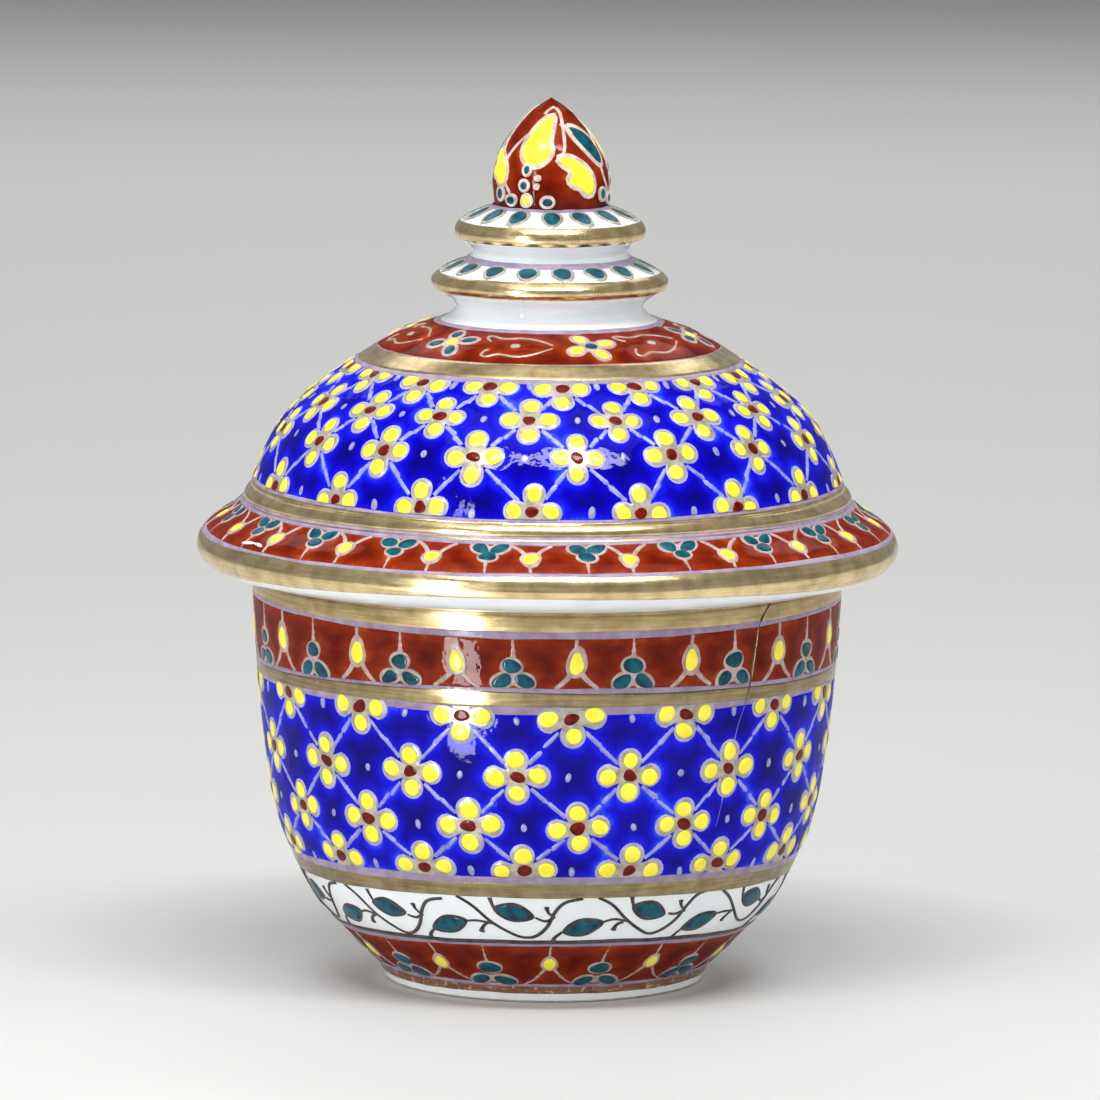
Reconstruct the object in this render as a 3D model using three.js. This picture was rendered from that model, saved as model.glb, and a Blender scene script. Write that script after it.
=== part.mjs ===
// A porcelain sugar bowl with a domed lid and a stepped bud finial.
// Millimetres, +Z up, origin on the table under the middle of the foot ring.
// Every piece is thrown and turned, so each is one outline spun about the Z axis.
// The bowl holds the sugar, and the lid lifts straight off it by the finial.
import * as THREE from "three";

// Driving dimensions, the bowl
const rimHeight = 70;
const rimRadius = 49.8;
const bowlWall = 3.6;
const rimEdgeRound = 0.7;
const footHeight = 3.6;
const footTopRadius = 28.4;
const footToeRadius = 27.2;
const footToeRound = 0.9;
const footBoreRadius = 23;
const footHeelChamfer = 0.6;
const baseRecess = 5.1;
const recessStep = 0.8;
const floorThickness = 3.6;
const floorFlatRadius = 19;

// Driving dimensions, the lid and the ring that centres it in the bowl's mouth
const crownHeight = 42;
const crownRadius = 19.4;
const shoulderHeight = 14.5;
const shoulderRadius = 50;
const lidWall = 3.8;
const beadHeight = 2;
const beadProud = 0.7;
const beadGroove = 0.5;
const brimRadius = 59.4;
const brimWidestHeight = 4.2;
const brimSoleRadius = 53.5;
const collarClearance = 0.9;
const collarWall = 3;
const collarDepth = 7;
const collarTaper = 0.5;
const collarEdgeRound = 0.8;

// Driving dimensions, the two hollow tiers under the bud
const lowerTier = {
  height: 10.6,
  neckRadius: 15.9,
  neckRise: 2.9,
  discRadius: 20,
  discRise: 7,
  shoulderRadius: 18.5,
  shoulderRise: 8.7,
  boreRadius: 12,
  boreRise: 6.6,
  boreSlope: 2,
};
const upperTier = {
  height: 9,
  neckRadius: 13.2,
  neckRise: 1.5,
  discRadius: 16.1,
  discRise: 4.9,
  shoulderRadius: 15.2,
  shoulderRise: 6.7,
  boreRadius: 9,
  boreRise: 4.8,
  boreSlope: 0.9,
};
const tierSeamRadius = 14.3;
const budSeatRadius = 9.9;

// Driving dimensions, the bud
const budHeight = 18.4;
const budBaseRadius = 9.4;
const budRadius = 9.85;
const budWidestRise = 4.2;
const tenonRadius = 5;
const tenonLength = 2.6;
const tenonClearance = 0.3;

// Where the pieces meet, as heights above the table
const seatZ = rimHeight;
const crownZ = seatZ + crownHeight;
const tierSeamZ = crownZ + lowerTier.height;
const budSeatZ = tierSeamZ + upperTier.height;

// Sizes that follow from a neighbour's
const mouthRadius = rimRadius - bowlWall;
const collarRadius = mouthRadius - collarClearance;
const collarBoreRadius = collarRadius - collarWall;
const brimRootHeight = shoulderHeight - beadHeight - 2 * beadGroove;
const brimRootRadius = shoulderRadius + beadProud + 2 * beadGroove;
const tenonHoleRadius = tenonRadius + tenonClearance;

// How finely the round forms are cut
const wideTurns = 56;
const slimTurns = 36;
const roundSteps = 3;
const wallSteps = 12;
const brimSteps = 6;
const tierSteps = 14;
const budSteps = 11;

// Outlines as shares, chosen by eye: [across, up] from one named size to the next
const bowlWallShares = [
  [0, 0],
  [0.07, 0.02],
  [0.22, 0.066],
  [0.485, 0.157],
  [0.68, 0.277],
  [0.815, 0.398],
  [0.909, 0.593],
  [0.965, 0.78],
  [1, 0.95],
];
const domeShares = [
  [0, 0],
  [0.19, 0.073],
  [0.405, 0.218],
  [0.591, 0.364],
  [0.752, 0.509],
  [0.859, 0.655],
  [0.931, 0.8],
  [1, 1],
];
const brimTopShares = [
  [0, 0],
  [0.23, 0.216],
  [0.654, 0.486],
  [0.923, 0.757],
  [1, 1],
];
const coveShares = [
  [0, 0],
  [0.6, 0.34],
  [0.92, 0.7],
  [1, 1],
];
const discUnderShares = [
  [0, 0],
  [0.22, 0.27],
  [0.66, 0.53],
  [0.94, 0.79],
  [1, 1],
];
const discTopShares = [
  [0, 0],
  [0.15, 0.35],
  [0.5, 0.7],
  [1, 1],
];
const budShares = [
  [1, 0],
  [0.965, 0.155],
  [0.9, 0.296],
  [0.8, 0.437],
  [0.66, 0.577],
  [0.49, 0.718],
  [0.3, 0.859],
  [0, 1],
];
const flankShare = 0.35;
const beadEaseShare = 0.25;

// A point of an outline: x is the radius and y is the height.
function at(radius, height) {
  return new THREE.Vector2(radius, height);
}

// Places a table of shares between two corners of an outline.
function placed(shares, from, to) {
  return shares.map(([across, up]) => {
    return at(from.x + across * (to.x - from.x), from.y + up * (to.y - from.y));
  });
}

// A smooth line through the given points, cut into the given number of steps.
function smooth(points, steps) {
  return new THREE.SplineCurve(points).getPoints(steps);
}

// A quarter of an ellipse from one point to another, leaving the first one upright.
function quarterUpright(from, to, steps) {
  const points = [];
  for (let i = 0; i <= steps; i++) {
    const turn = (i / steps) * (Math.PI / 2);
    const radius = to.x + (from.x - to.x) * Math.cos(turn);
    const height = from.y + (to.y - from.y) * Math.sin(turn);
    points.push(at(radius, height));
  }
  return points;
}

// A quarter of an ellipse from one point to another, leaving the first one level.
function quarterLevel(from, to, steps) {
  const points = [];
  for (let i = 0; i <= steps; i++) {
    const turn = (i / steps) * (Math.PI / 2);
    const radius = from.x + (to.x - from.x) * Math.sin(turn);
    const height = to.y + (from.y - to.y) * Math.cos(turn);
    points.push(at(radius, height));
  }
  return points;
}

// The line that runs beside another at a wall's thickness, on the left of its travel.
function beside(line, thickness) {
  return line.map((point, i) => {
    const before = line[Math.max(i - 1, 0)];
    const after = line[Math.min(i + 1, line.length - 1)];
    const along = after.clone().sub(before).normalize();
    return at(point.x - along.y * thickness, point.y + along.x * thickness);
  });
}

// Spins a closed outline about the Z axis. The outline runs anticlockwise.
function spun(outline, turns) {
  const geometry = new THREE.LatheGeometry(outline, turns);
  geometry.rotateX(Math.PI / 2);
  return geometry;
}

// The ring that the bowl stands on: a flat land, a rounded toe and a flared outside.
function footRing() {
  const toe = at(footToeRadius, footToeRound);
  const land = at(footToeRadius - footToeRound, 0);
  const outline = [
    at(footBoreRadius + footHeelChamfer, 0),
    ...quarterLevel(land, toe, roundSteps),
    at(footTopRadius, footHeight),
    at(footBoreRadius, footHeight),
    at(footBoreRadius, footHeelChamfer),
    at(footBoreRadius + footHeelChamfer, 0),
  ];
  return spun(outline, wideTurns);
}

// The outside of the bowl, from the foot ring up to just under the rim.
function bowlOutside() {
  const from = at(footTopRadius, footHeight);
  const to = at(rimRadius, rimHeight);
  return smooth(placed(bowlWallShares, from, to), wallSteps);
}

// The bowl: one even wall, a flat floor inside and a recessed base under it.
function bowlBody() {
  const outside = bowlOutside();
  const floorZ = baseRecess + floorThickness;
  const lip = at(rimRadius - rimEdgeRound, rimHeight);
  const lipInside = at(mouthRadius + rimEdgeRound, rimHeight);
  const wallInside = beside(outside, bowlWall).reverse();
  const aboveFloor = wallInside.filter((point) => {
    return point.y > floorZ + floorThickness && point.y < rimHeight - bowlWall;
  });
  const last = aboveFloor[aboveFloor.length - 1];
  const corner = at((last.x + floorFlatRadius) / 2 + floorThickness / 2, floorZ);
  const heel = new THREE.QuadraticBezierCurve(last, corner, at(floorFlatRadius, floorZ));
  const outline = [
    at(0, baseRecess),
    at(footBoreRadius - recessStep, baseRecess),
    at(footBoreRadius, footHeight),
    ...outside,
    ...quarterUpright(at(rimRadius, rimHeight - rimEdgeRound), lip, roundSteps),
    ...quarterLevel(lipInside, at(mouthRadius, rimHeight - rimEdgeRound), roundSteps),
    ...aboveFloor,
    ...heel.getPoints(roundSteps + 1).slice(1),
    at(0, floorZ),
  ];
  return spun(outline, wideTurns);
}

// The outside of the dome, from its crown down to its shoulder.
function domeOutside() {
  const from = at(crownRadius, crownZ);
  const to = at(shoulderRadius, seatZ + shoulderHeight);
  return smooth(placed(domeShares, from, to), wallSteps);
}

// The gilt bead round the dome's foot, between two fine grooves.
function bead() {
  const top = seatZ + shoulderHeight - beadGroove;
  const foot = top - beadHeight;
  return [
    at(shoulderRadius, top),
    at(shoulderRadius + beadProud, top - beadEaseShare * beadHeight),
    at(shoulderRadius + beadProud + beadGroove, foot + beadEaseShare * beadHeight),
    at(shoulderRadius + beadProud, foot),
  ];
}

// The rolled brim, from the dome's foot over its widest line to the flat sole.
function brim() {
  const root = at(brimRootRadius, seatZ + brimRootHeight);
  const widest = at(brimRadius, seatZ + brimWidestHeight);
  const sole = at(brimSoleRadius, seatZ);
  const top = smooth(placed(brimTopShares, root, widest), brimSteps);
  const under = quarterUpright(widest, sole, roundSteps + 2);
  return [...top, ...under.slice(1)];
}

// The domed lid, hollow, with a round hole at its crown that opens into the tiers.
function lidDome() {
  const outside = domeOutside();
  const within = beside(outside, -lidWall);
  const holeRadius = lowerTier.boreRadius;
  const inside = within.filter((point) => {
    return point.x > holeRadius + lidWall / 2;
  });
  const last = inside[inside.length - 1];
  const seatInside = at(collarBoreRadius, seatZ);
  const belly = at(last.x, seatZ + flankShare * shoulderHeight);
  const flank = new THREE.QuadraticBezierCurve(last, belly, seatInside);
  const outline = [
    at(holeRadius, crownZ),
    at(holeRadius, crownZ - lidWall),
    ...inside,
    ...flank.getPoints(roundSteps + 1).slice(1),
    ...brim().reverse(),
    ...bead().reverse(),
    ...outside.reverse(),
    at(holeRadius, crownZ),
  ];
  return spun(outline, wideTurns);
}

// The ring under the brim that drops into the bowl's mouth and keeps the lid centred.
function lidCollar() {
  const footZ = seatZ - collarDepth;
  const footOutside = collarRadius - collarTaper;
  const outline = [
    at(collarBoreRadius, footZ + collarEdgeRound),
    at(collarBoreRadius + collarEdgeRound, footZ),
    at(footOutside - collarEdgeRound, footZ),
    at(footOutside, footZ + collarEdgeRound),
    at(collarRadius, seatZ),
    at(collarBoreRadius, seatZ),
    at(collarBoreRadius, footZ + collarEdgeRound),
  ];
  return spun(outline, wideTurns);
}

// One tier of the finial: a coved neck under a thin rounded disc, open through the middle.
function tier(size, baseZ, footRadius, topRadius, topBoreRadius) {
  const foot = at(footRadius, baseZ);
  const neck = at(size.neckRadius, baseZ + size.neckRise);
  const disc = at(size.discRadius, baseZ + size.discRise);
  const shoulder = at(size.shoulderRadius, baseZ + size.shoulderRise);
  const points = [
    ...placed(coveShares, foot, neck),
    ...placed(discUnderShares, neck, disc).slice(1),
    ...placed(discTopShares, disc, shoulder).slice(1),
  ];
  const outline = [
    at(size.boreRadius, baseZ),
    ...smooth(points, tierSteps),
    at(topRadius, baseZ + size.height),
    at(topBoreRadius, baseZ + size.height),
    at(topBoreRadius, baseZ + size.boreRise + size.boreSlope),
    at(size.boreRadius, baseZ + size.boreRise),
    at(size.boreRadius, baseZ),
  ];
  return spun(outline, slimTurns);
}

// The solid bud, with a short tenon that plugs the hole in the upper tier.
function bud() {
  const widest = at(0, budSeatZ + budWidestRise);
  const tip = at(budRadius, budSeatZ + budHeight);
  const outline = [
    at(0, budSeatZ - tenonLength),
    at(tenonRadius, budSeatZ - tenonLength),
    at(tenonRadius, budSeatZ),
    at(budBaseRadius, budSeatZ),
    ...smooth(placed(budShares, widest, tip), budSteps),
  ];
  return spun(outline, slimTurns);
}

// The materials' colours are what shows most on each piece.
function glaze(colour, roughness) {
  return new THREE.MeshStandardMaterial({ color: colour, roughness, metalness: 0 });
}

function piece(name, geometry, material) {
  const mesh = new THREE.Mesh(geometry, material);
  mesh.name = name;
  return mesh;
}

const bowl = new THREE.Group();
bowl.add(
  piece("foot_ring", footRing(), glaze(0xd7d2c6, 0.55)),
  piece("bowl_body", bowlBody(), glaze(0x1410a8, 0.12)),
);

const lid = new THREE.Group();
lid.add(
  piece("lid_dome", lidDome(), glaze(0x1c18b0, 0.12)),
  piece("lid_collar", lidCollar(), glaze(0xe4e9ea, 0.3)),
  piece(
    "finial_lower_tier",
    tier(lowerTier, crownZ, crownRadius, tierSeamRadius, upperTier.boreRadius),
    glaze(0xeceff0, 0.15),
  ),
  piece(
    "finial_upper_tier",
    tier(upperTier, tierSeamZ, tierSeamRadius, budSeatRadius, tenonHoleRadius),
    glaze(0xeceff0, 0.15),
  ),
  piece("finial_bud", bud(), glaze(0xa32c12, 0.15)),
);

const sugarBowl = new THREE.Group();
sugarBowl.add(bowl, lid);

export default sugarBowl;
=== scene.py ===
# %% [markdown]
# A porcelain sugar bowl with a domed lid, painted all over in thick overglaze enamels.
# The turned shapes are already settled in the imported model, which loads here as a fixed frame.
# This lesson makes the glazed porcelain, the enamels that stand on it and the gilding.

# %% Load the frame
import math
import random

import bpy
import numpy as np
from mathutils import Matrix, Vector
from mathutils.kdtree import KDTree


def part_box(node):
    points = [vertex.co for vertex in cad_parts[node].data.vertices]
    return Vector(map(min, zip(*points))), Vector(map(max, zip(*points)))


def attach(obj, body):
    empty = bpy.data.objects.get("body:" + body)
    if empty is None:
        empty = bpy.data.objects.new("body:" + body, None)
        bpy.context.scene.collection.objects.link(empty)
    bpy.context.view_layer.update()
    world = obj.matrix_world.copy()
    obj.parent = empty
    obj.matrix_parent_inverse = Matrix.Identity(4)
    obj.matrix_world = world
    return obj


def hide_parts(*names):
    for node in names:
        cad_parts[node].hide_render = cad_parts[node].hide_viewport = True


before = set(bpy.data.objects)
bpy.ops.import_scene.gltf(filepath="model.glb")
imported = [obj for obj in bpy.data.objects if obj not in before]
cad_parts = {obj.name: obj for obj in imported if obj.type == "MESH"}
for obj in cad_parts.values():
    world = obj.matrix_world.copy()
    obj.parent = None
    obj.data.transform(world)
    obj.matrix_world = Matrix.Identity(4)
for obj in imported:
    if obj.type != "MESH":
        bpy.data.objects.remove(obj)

bpy.ops.object.select_all(action="DESELECT")
MM = 0.001
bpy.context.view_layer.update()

# %% [markdown]
# The camera comes first, because everything is judged from where it stands.
# It is a long lens, 1.8 m from the pot and a little above it, and it leans by half a degree,
# as a camera held on a tripod by hand does.

# %% Camera
CAMERA_AWAY = 1783.3 * MM
CAMERA_HEIGHT = 319.3 * MM
CAMERA_ASIDE = 0.45 * MM
LOOKS_DOWN = math.radians(7.863)
LEANS = math.radians(0.52)
LENS = 347.8

eye = bpy.data.objects.new("camera", bpy.data.cameras.new("camera"))
bpy.context.scene.collection.objects.link(eye)
eye.data.lens = LENS
eye.data.clip_start = 0.05
eye.data.clip_end = 60.0
level = Matrix.Rotation(math.pi / 2 - LOOKS_DOWN, 4, "X")
eye.matrix_world = (
    Matrix.Translation((CAMERA_ASIDE, -CAMERA_AWAY, CAMERA_HEIGHT)) @ level @ Matrix.Rotation(LEANS, 4, "Z")
)
bpy.context.scene.camera = eye
print("camera at", [round(x, 3) for x in eye.location])

# %% [markdown]
# Glossy enamel shows its lamps as clear shapes, so the lamps are part of the look.
# A long narrow lamp and a dim panel hang overhead and another panel hangs behind, for the gilding. A
# strip stands on the left. A small card close to the bowl is seen in the gloss alone and draws the
# upright highlight on its wall. Four large fill lamps open the shade on every side. They are hidden
# from the gloss, because a bright wall all round would wash the deep colours out.

# %% Lamps, world and floor
def soft_lamp(name, place, size, power, in_gloss=True, on_surface=True, aim=(0.0, 0.0, 0.07)):
    """A rectangular lamp at a place, turned to a point on the pot."""
    data = bpy.data.lights.new(name, "AREA")
    data.shape = "RECTANGLE"
    data.size, data.size_y = size
    data.energy = power
    lamp = bpy.data.objects.new(name, data)
    bpy.context.scene.collection.objects.link(lamp)
    lamp.location = place
    lamp.rotation_mode = "QUATERNION"
    lamp.rotation_quaternion = (Vector(aim) - Vector(place)).to_track_quat("-Z", "Y")
    lamp.visible_camera = False
    lamp.visible_glossy = in_gloss
    lamp.visible_diffuse = on_surface
    return lamp


lamps = [
    soft_lamp("overhead_lamp", (0.02, -0.40, 0.80), (0.66, 0.08), 5.4),
    soft_lamp("high_panel", (0.00, -0.12, 1.10), (1.00, 0.80), 2.4),
    soft_lamp("back_panel", (0.00, 0.95, 1.00), (1.30, 0.45), 2.4),
    soft_lamp("left_strip_lamp", (-0.27, -0.40, 0.17), (0.030, 0.34), 0.75),
    soft_lamp("bowl_card", (-0.067, -0.131, 0.032), (0.020, 0.048), 0.075, on_surface=False,
              aim=(0.0, 0.0, 0.04)),
    soft_lamp("front_fill", (0.10, -1.60, 0.95), (1.20, 0.40), 2.2, False),
    soft_lamp("left_fill", (-1.30, -0.50, 0.80), (1.00, 1.00), 7.0, False),
    soft_lamp("right_fill", (1.30, -0.50, 0.80), (1.00, 1.00), 8.0, False),
    soft_lamp("back_fill", (0.00, 1.50, 0.90), (1.20, 1.00), 7.2, False),
]

WORLD_LEVEL = 0.32
world = bpy.data.worlds.new("studio")
world.use_nodes = True
sky = world.node_tree.nodes["Background"].inputs
sky["Color"].default_value = (1.0, 1.0, 1.0, 1.0)
sky["Strength"].default_value = WORLD_LEVEL
bpy.context.scene.world = world
bpy.context.scene.view_settings.view_transform = "Standard"

FLOOR_RADIUS = 25.0
bpy.ops.mesh.primitive_circle_add(vertices=96, radius=FLOOR_RADIUS, fill_type="NGON")
floor = bpy.context.object
floor.name = "floor"
print("lamps:", len(lamps), "world level", WORLD_LEVEL)

# %% [markdown]
# Every finish is a glassy coat over a colour. The small helpers here keep the recipes short.
# Patterns read the piece's own coordinates in metres, so a size in a recipe is a real size.

# %% Helpers for finishes
COAT_ROUGHNESS = 0.03


def shader_of(material):
    """The inputs of a material's shader."""
    return material.node_tree.nodes["Principled BSDF"].inputs


def finish(name, colour, roughness, coat=0.0, metallic=0.0, shine=0.4):
    """A plain Principled finish. The numbers that are even all over are set on the shader itself."""
    material = bpy.data.materials.new(name)
    material.use_nodes = True
    for key, value in (("Base Color", (*colour, 1.0)), ("Roughness", roughness), ("Metallic", metallic),
                       ("Specular IOR Level", shine), ("Coat Weight", coat),
                       ("Coat Roughness", COAT_ROUGHNESS)):
        shader_of(material)[key].default_value = value
    return material


def feed(material, target, value):
    """Gives an input a plain value, or links another node's output to it."""
    if isinstance(value, bpy.types.NodeSocket):
        material.node_tree.links.new(value, target)
    else:
        target.default_value = value


def add(material, kind, operation=None, **values):
    """Adds a node. Its inputs are given by name, or as in0, in1 and in2 where they share a name."""
    node = material.node_tree.nodes.new("ShaderNode" + kind)
    if operation:
        node.operation = operation
    for key, value in values.items():
        feed(material, node.inputs[int(key[2:]) if key.startswith("in") else key.replace("_", " ")], value)
    return node


def noise(material, size, detail=3.0, stretch=(1.0, 1.0, 1.0)):
    """Noise on object coordinates whose blotches are about the given size in millimetres."""
    place = add(material, "Mapping", Vector=add(material, "TexCoord").outputs["Object"], Scale=stretch)
    return add(material, "TexNoise", Vector=place.outputs["Vector"], Scale=1.0 / (size * MM),
               Detail=detail).outputs["Fac"]


def ramp(material, source, stops):
    """A colour ramp over a value: stops are (position, colour)."""
    node = add(material, "ValToRGB", Fac=source)
    elements = node.color_ramp.elements
    while len(elements) < len(stops):
        elements.new(0.5)
    for element, (position, colour) in zip(elements, stops):
        element.position = position
        element.color = (*colour, 1.0)
    return node.outputs["Color"]


def paint(material, colour):
    """Sets the colour of the shader."""
    feed(material, shader_of(material)["Base Color"], colour)


def unevenness(material, source, depth):
    """Turns a value into a fine unevenness of the surface, its depth in millimetres."""
    bump = add(material, "Bump", Height=source, Strength=1.0, Distance=depth * MM)
    for key in ("Normal", "Coat Normal"):
        feed(material, shader_of(material)[key], bump.outputs["Normal"])


def mix(material, share, first, second, blend="MIX"):
    """Mixes two colours by a share."""
    node = material.node_tree.nodes.new("ShaderNodeMix")
    node.data_type = "RGBA"
    node.blend_type = blend
    for k, value in ((0, share), (6, first), (7, second)):
        feed(material, node.inputs[k], (*value, 1.0) if isinstance(value, tuple) else value)
    return node.outputs[2]


print("finish helpers ready")

# %% [markdown]
# Porcelain glaze is a cool white glass with a very slight unevenness and a trace of grey clouds.
# The land of the foot is wiped clean of glaze before firing, so it stays a dry, warm biscuit.

# %% White glaze and bare porcelain
white_glaze = finish("white_glaze", (0.78, 0.83, 0.86), 0.10, coat=0.6)
paint(white_glaze, ramp(white_glaze, noise(white_glaze, 9.0), [
    (0.30, (0.79, 0.84, 0.87)), (0.60, (0.86, 0.90, 0.92))]))
unevenness(white_glaze, noise(white_glaze, 4.0, 2.0), 0.02)

biscuit = finish("bare_porcelain", (0.62, 0.56, 0.46), 0.75, shine=0.2)
paint(biscuit, ramp(biscuit, noise(biscuit, 1.2, 5.0), [
    (0.35, (0.50, 0.44, 0.35)), (0.65, (0.68, 0.63, 0.54))]))
unevenness(biscuit, noise(biscuit, 0.35, 4.0), 0.03)
print("white glaze and biscuit mixed")

# %% [markdown]
# Cobalt enamel is a coloured glass. Where it pools thick between the lines it is nearly navy, and
# where it thins towards a line it turns to a bright blue. The pieces carry a value called pool that
# is 0 beside a line and 1 far from one, and the recipe reads it.

# %% Cobalt and iron red enamel
POOL_SHARE, CLOUD_SHARE = 0.66, 0.38


def pooled_enamel(name, stops, cloud_size, brush):
    """An enamel that darkens with the piece's pool value, with clouds of a second noise."""
    material = finish(name, stops[-1][1], 0.30, coat=0.27, shine=0.0)
    pool = add(material, "Attribute")
    pool.attribute_name = "pool"
    clouds = add(material, "MapRange", Value=noise(material, cloud_size, 1.5, brush), From_Min=0.30,
                 From_Max=0.70, To_Min=0.0, To_Max=CLOUD_SHARE)
    amount = add(material, "Math", "MULTIPLY_ADD", in0=pool.outputs["Fac"], in1=POOL_SHARE,
                 in2=clouds.outputs["Result"])
    paint(material, ramp(material, amount.outputs["Value"], stops))
    unevenness(material, noise(material, 1.8, 2.0), 0.07)
    return material


cobalt = pooled_enamel("cobalt_enamel", [
    (0.03, (0.030, 0.080, 0.92)),
    (0.20, (0.005, 0.007, 0.66)),
    (0.46, (0.002, 0.0, 0.38)),
    (0.74, (0.001, 0.0, 0.225)),
    (0.98, (0.0, 0.0, 0.135))], 8.0, (1.0, 1.0, 1.0))
iron_red = pooled_enamel("iron_red_enamel", [
    (0.02, (0.34, 0.056, 0.009)),
    (0.22, (0.225, 0.020, 0.002)),
    (0.58, (0.138, 0.008, 0.0)),
    (0.95, (0.075, 0.003, 0.0))], 3.5, (1.0, 1.0, 1.8))
print("pooled enamels mixed")

# %% [markdown]
# Yellow and teal go on as fat drops that stay domed in the kiln. Lavender is the raised paste that
# every line is drawn with. It takes a tinge from the enamel that it stands in, blue in the cobalt and
# rose in the red, it is nearly bare on the bud, and taupe is the same paste with a trace of gold.

# %% Drop, line and ink finishes
def drop_enamel(name, deep, bright, size, depth=0.04, coat=0.4):
    """An enamel whose colour drifts between two tones, in clouds of a size in millimetres."""
    material = finish(name, bright, 0.30, coat=coat, shine=0.05)
    paint(material, ramp(material, noise(material, size), [(0.34, deep), (0.62, bright)]))
    unevenness(material, noise(material, 1.0, 2.0), depth)
    return material


yellow = drop_enamel("yellow_enamel", (0.90, 0.77, 0.030), (0.95, 0.88, 0.075), 2.2)
teal = drop_enamel("teal_enamel", (0.0, 0.028, 0.050), (0.0, 0.100, 0.135), 1.8)
heart_red = drop_enamel("heart_red_enamel", (0.07, 0.002, 0.0), (0.17, 0.007, 0.001), 1.0, 0.04, 0.3)
lavender = drop_enamel("lavender_paste", (0.25, 0.19, 0.29), (0.36, 0.29, 0.40), 2.6, 0.05, 0.3)
blue_paste = drop_enamel("blue_tinged_paste", (0.13, 0.15, 0.58), (0.31, 0.34, 0.71), 1.6, 0.05, 0.3)
halo_paste = drop_enamel("halo_paste", (0.29, 0.27, 0.44), (0.45, 0.43, 0.57), 1.6, 0.05, 0.3)
rose_paste = drop_enamel("rose_paste", (0.34, 0.24, 0.22), (0.50, 0.39, 0.37), 1.6, 0.05, 0.3)
pale_paste = drop_enamel("pale_paste", (0.44, 0.32, 0.28), (0.68, 0.58, 0.52), 1.6, 0.05, 0.4)
ink = drop_enamel("vine_ink", (0.030, 0.024, 0.027), (0.085, 0.066, 0.066), 1.5, 0.03, 0.3)
taupe = finish("taupe_paste", (0.42, 0.37, 0.30), 0.34, coat=0.4, metallic=0.35)
paint(taupe, ramp(taupe, noise(taupe, 1.4, 4.0), [
    (0.33, (0.29, 0.25, 0.18)), (0.50, (0.41, 0.37, 0.30)), (0.68, (0.52, 0.48, 0.47))]))
unevenness(taupe, noise(taupe, 0.8, 3.0), 0.06)
print("drops, lines and ink mixed")

# %% [markdown]
# Gold is brushed on round the turning pot, so its streaks run round it. Dividing the place by its
# distance from the axis leaves only the direction, which changes slowly along a streak, and the
# height and radius are stretched, so that they change fast across it. The recipe is mixed four times:
# full for the lid, darkened for the rim as painted shade from the brim above it, dull and darker for
# the bands of the bowl, and worn for the foot.

# %% Gilding
def streaks(material, fineness, around):
    """Noise drawn out into streaks that run round the axis."""
    place = add(material, "SeparateXYZ", Vector=add(material, "TexCoord").outputs["Object"]).outputs
    flat = add(material, "CombineXYZ", X=place["X"], Y=place["Y"]).outputs["Vector"]
    radius = add(material, "VectorMath", "LENGTH", in0=flat).outputs["Value"]
    direction = add(material, "VectorMath", "NORMALIZE", in0=flat).outputs["Vector"]
    wide = add(material, "VectorMath", "SCALE", in0=direction, Scale=around).outputs["Vector"]
    across = add(material, "Math", "ADD", in0=radius, in1=place["Z"]).outputs["Value"]
    fine = add(material, "Math", "MULTIPLY", in0=across, in1=1.0 / (fineness * MM)).outputs["Value"]
    split = add(material, "SeparateXYZ", Vector=wide).outputs
    whole = add(material, "CombineXYZ", X=split["X"], Y=split["Y"], Z=fine).outputs["Vector"]
    return add(material, "TexNoise", Vector=whole, Scale=1.0, Detail=4.0).outputs["Fac"]


def gilt(name, thin, full, bare, worn):
    """Fired gold: streaked, slightly rough, and worn through in specks to the paste below."""
    material = finish(name, full, 0.22, metallic=1.0)
    clouds = ramp(material, noise(material, 3.0, 4.0), [(0.35, (0.72, 0.70, 0.66)), (0.62, (1.0, 1.0, 1.0))])
    lines = ramp(material, streaks(material, 0.45, 5.0), [(0.30, thin), (0.62, full)])
    brushed = mix(material, 1.0, lines, clouds, "MULTIPLY")
    specks = ramp(material, noise(material, 0.9, 6.0), [
        (worn, (0.0, 0.0, 0.0)), (worn + 0.05, (1.0, 1.0, 1.0))])
    paint(material, mix(material, specks, brushed, bare))
    metal = add(material, "Math", "SUBTRACT", in0=1.0, in1=specks)
    feed(material, shader_of(material)["Metallic"], metal.outputs["Value"])
    rough = ramp(material, streaks(material, 0.7, 8.0), [(0.3, (0.17,) * 3), (0.7, (0.31,) * 3)])
    feed(material, shader_of(material)["Roughness"], rough)
    unevenness(material, streaks(material, 0.5, 9.0), 0.012)
    return material


gold = gilt("gilding", (0.70, 0.54, 0.28), (0.93, 0.74, 0.41), (0.45, 0.38, 0.40), 0.72)
# The rim's gilding is darkened here as painted shade, standing for the shade that the brim casts on the rim.
shaded_gold = gilt("shaded_gilding", (0.47, 0.36, 0.17), (0.68, 0.52, 0.27), (0.40, 0.34, 0.36), 0.72)
dull_gold = gilt("dull_gilding", (0.27, 0.21, 0.11), (0.42, 0.33, 0.18), (0.30, 0.25, 0.25), 0.68)
foot_gold = gilt("worn_foot_gilding", (0.42, 0.20, 0.10), (0.62, 0.36, 0.20), (0.50, 0.34, 0.26), 0.58)
shader_of(foot_gold)["Specular IOR Level"].default_value = 0.3
floor.data.materials.append(finish("floor_paint", (0.56, 0.56, 0.55), 0.6, shine=0.1))
print("gilding mixed")

# %% [markdown]
# Porcelain like this is thrown and turned, so each piece is one outline spun about the axis.
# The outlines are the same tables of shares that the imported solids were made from, cut finer, and
# the main sizes are read from the solids' boxes, so the glazed pieces seat as the solids do.

# %% Sizes from the frame
def reach(node):
    """Lowest height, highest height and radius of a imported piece, in millimetres."""
    low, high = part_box(node)
    return low.z / MM, high.z / MM, high.x / MM


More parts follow.
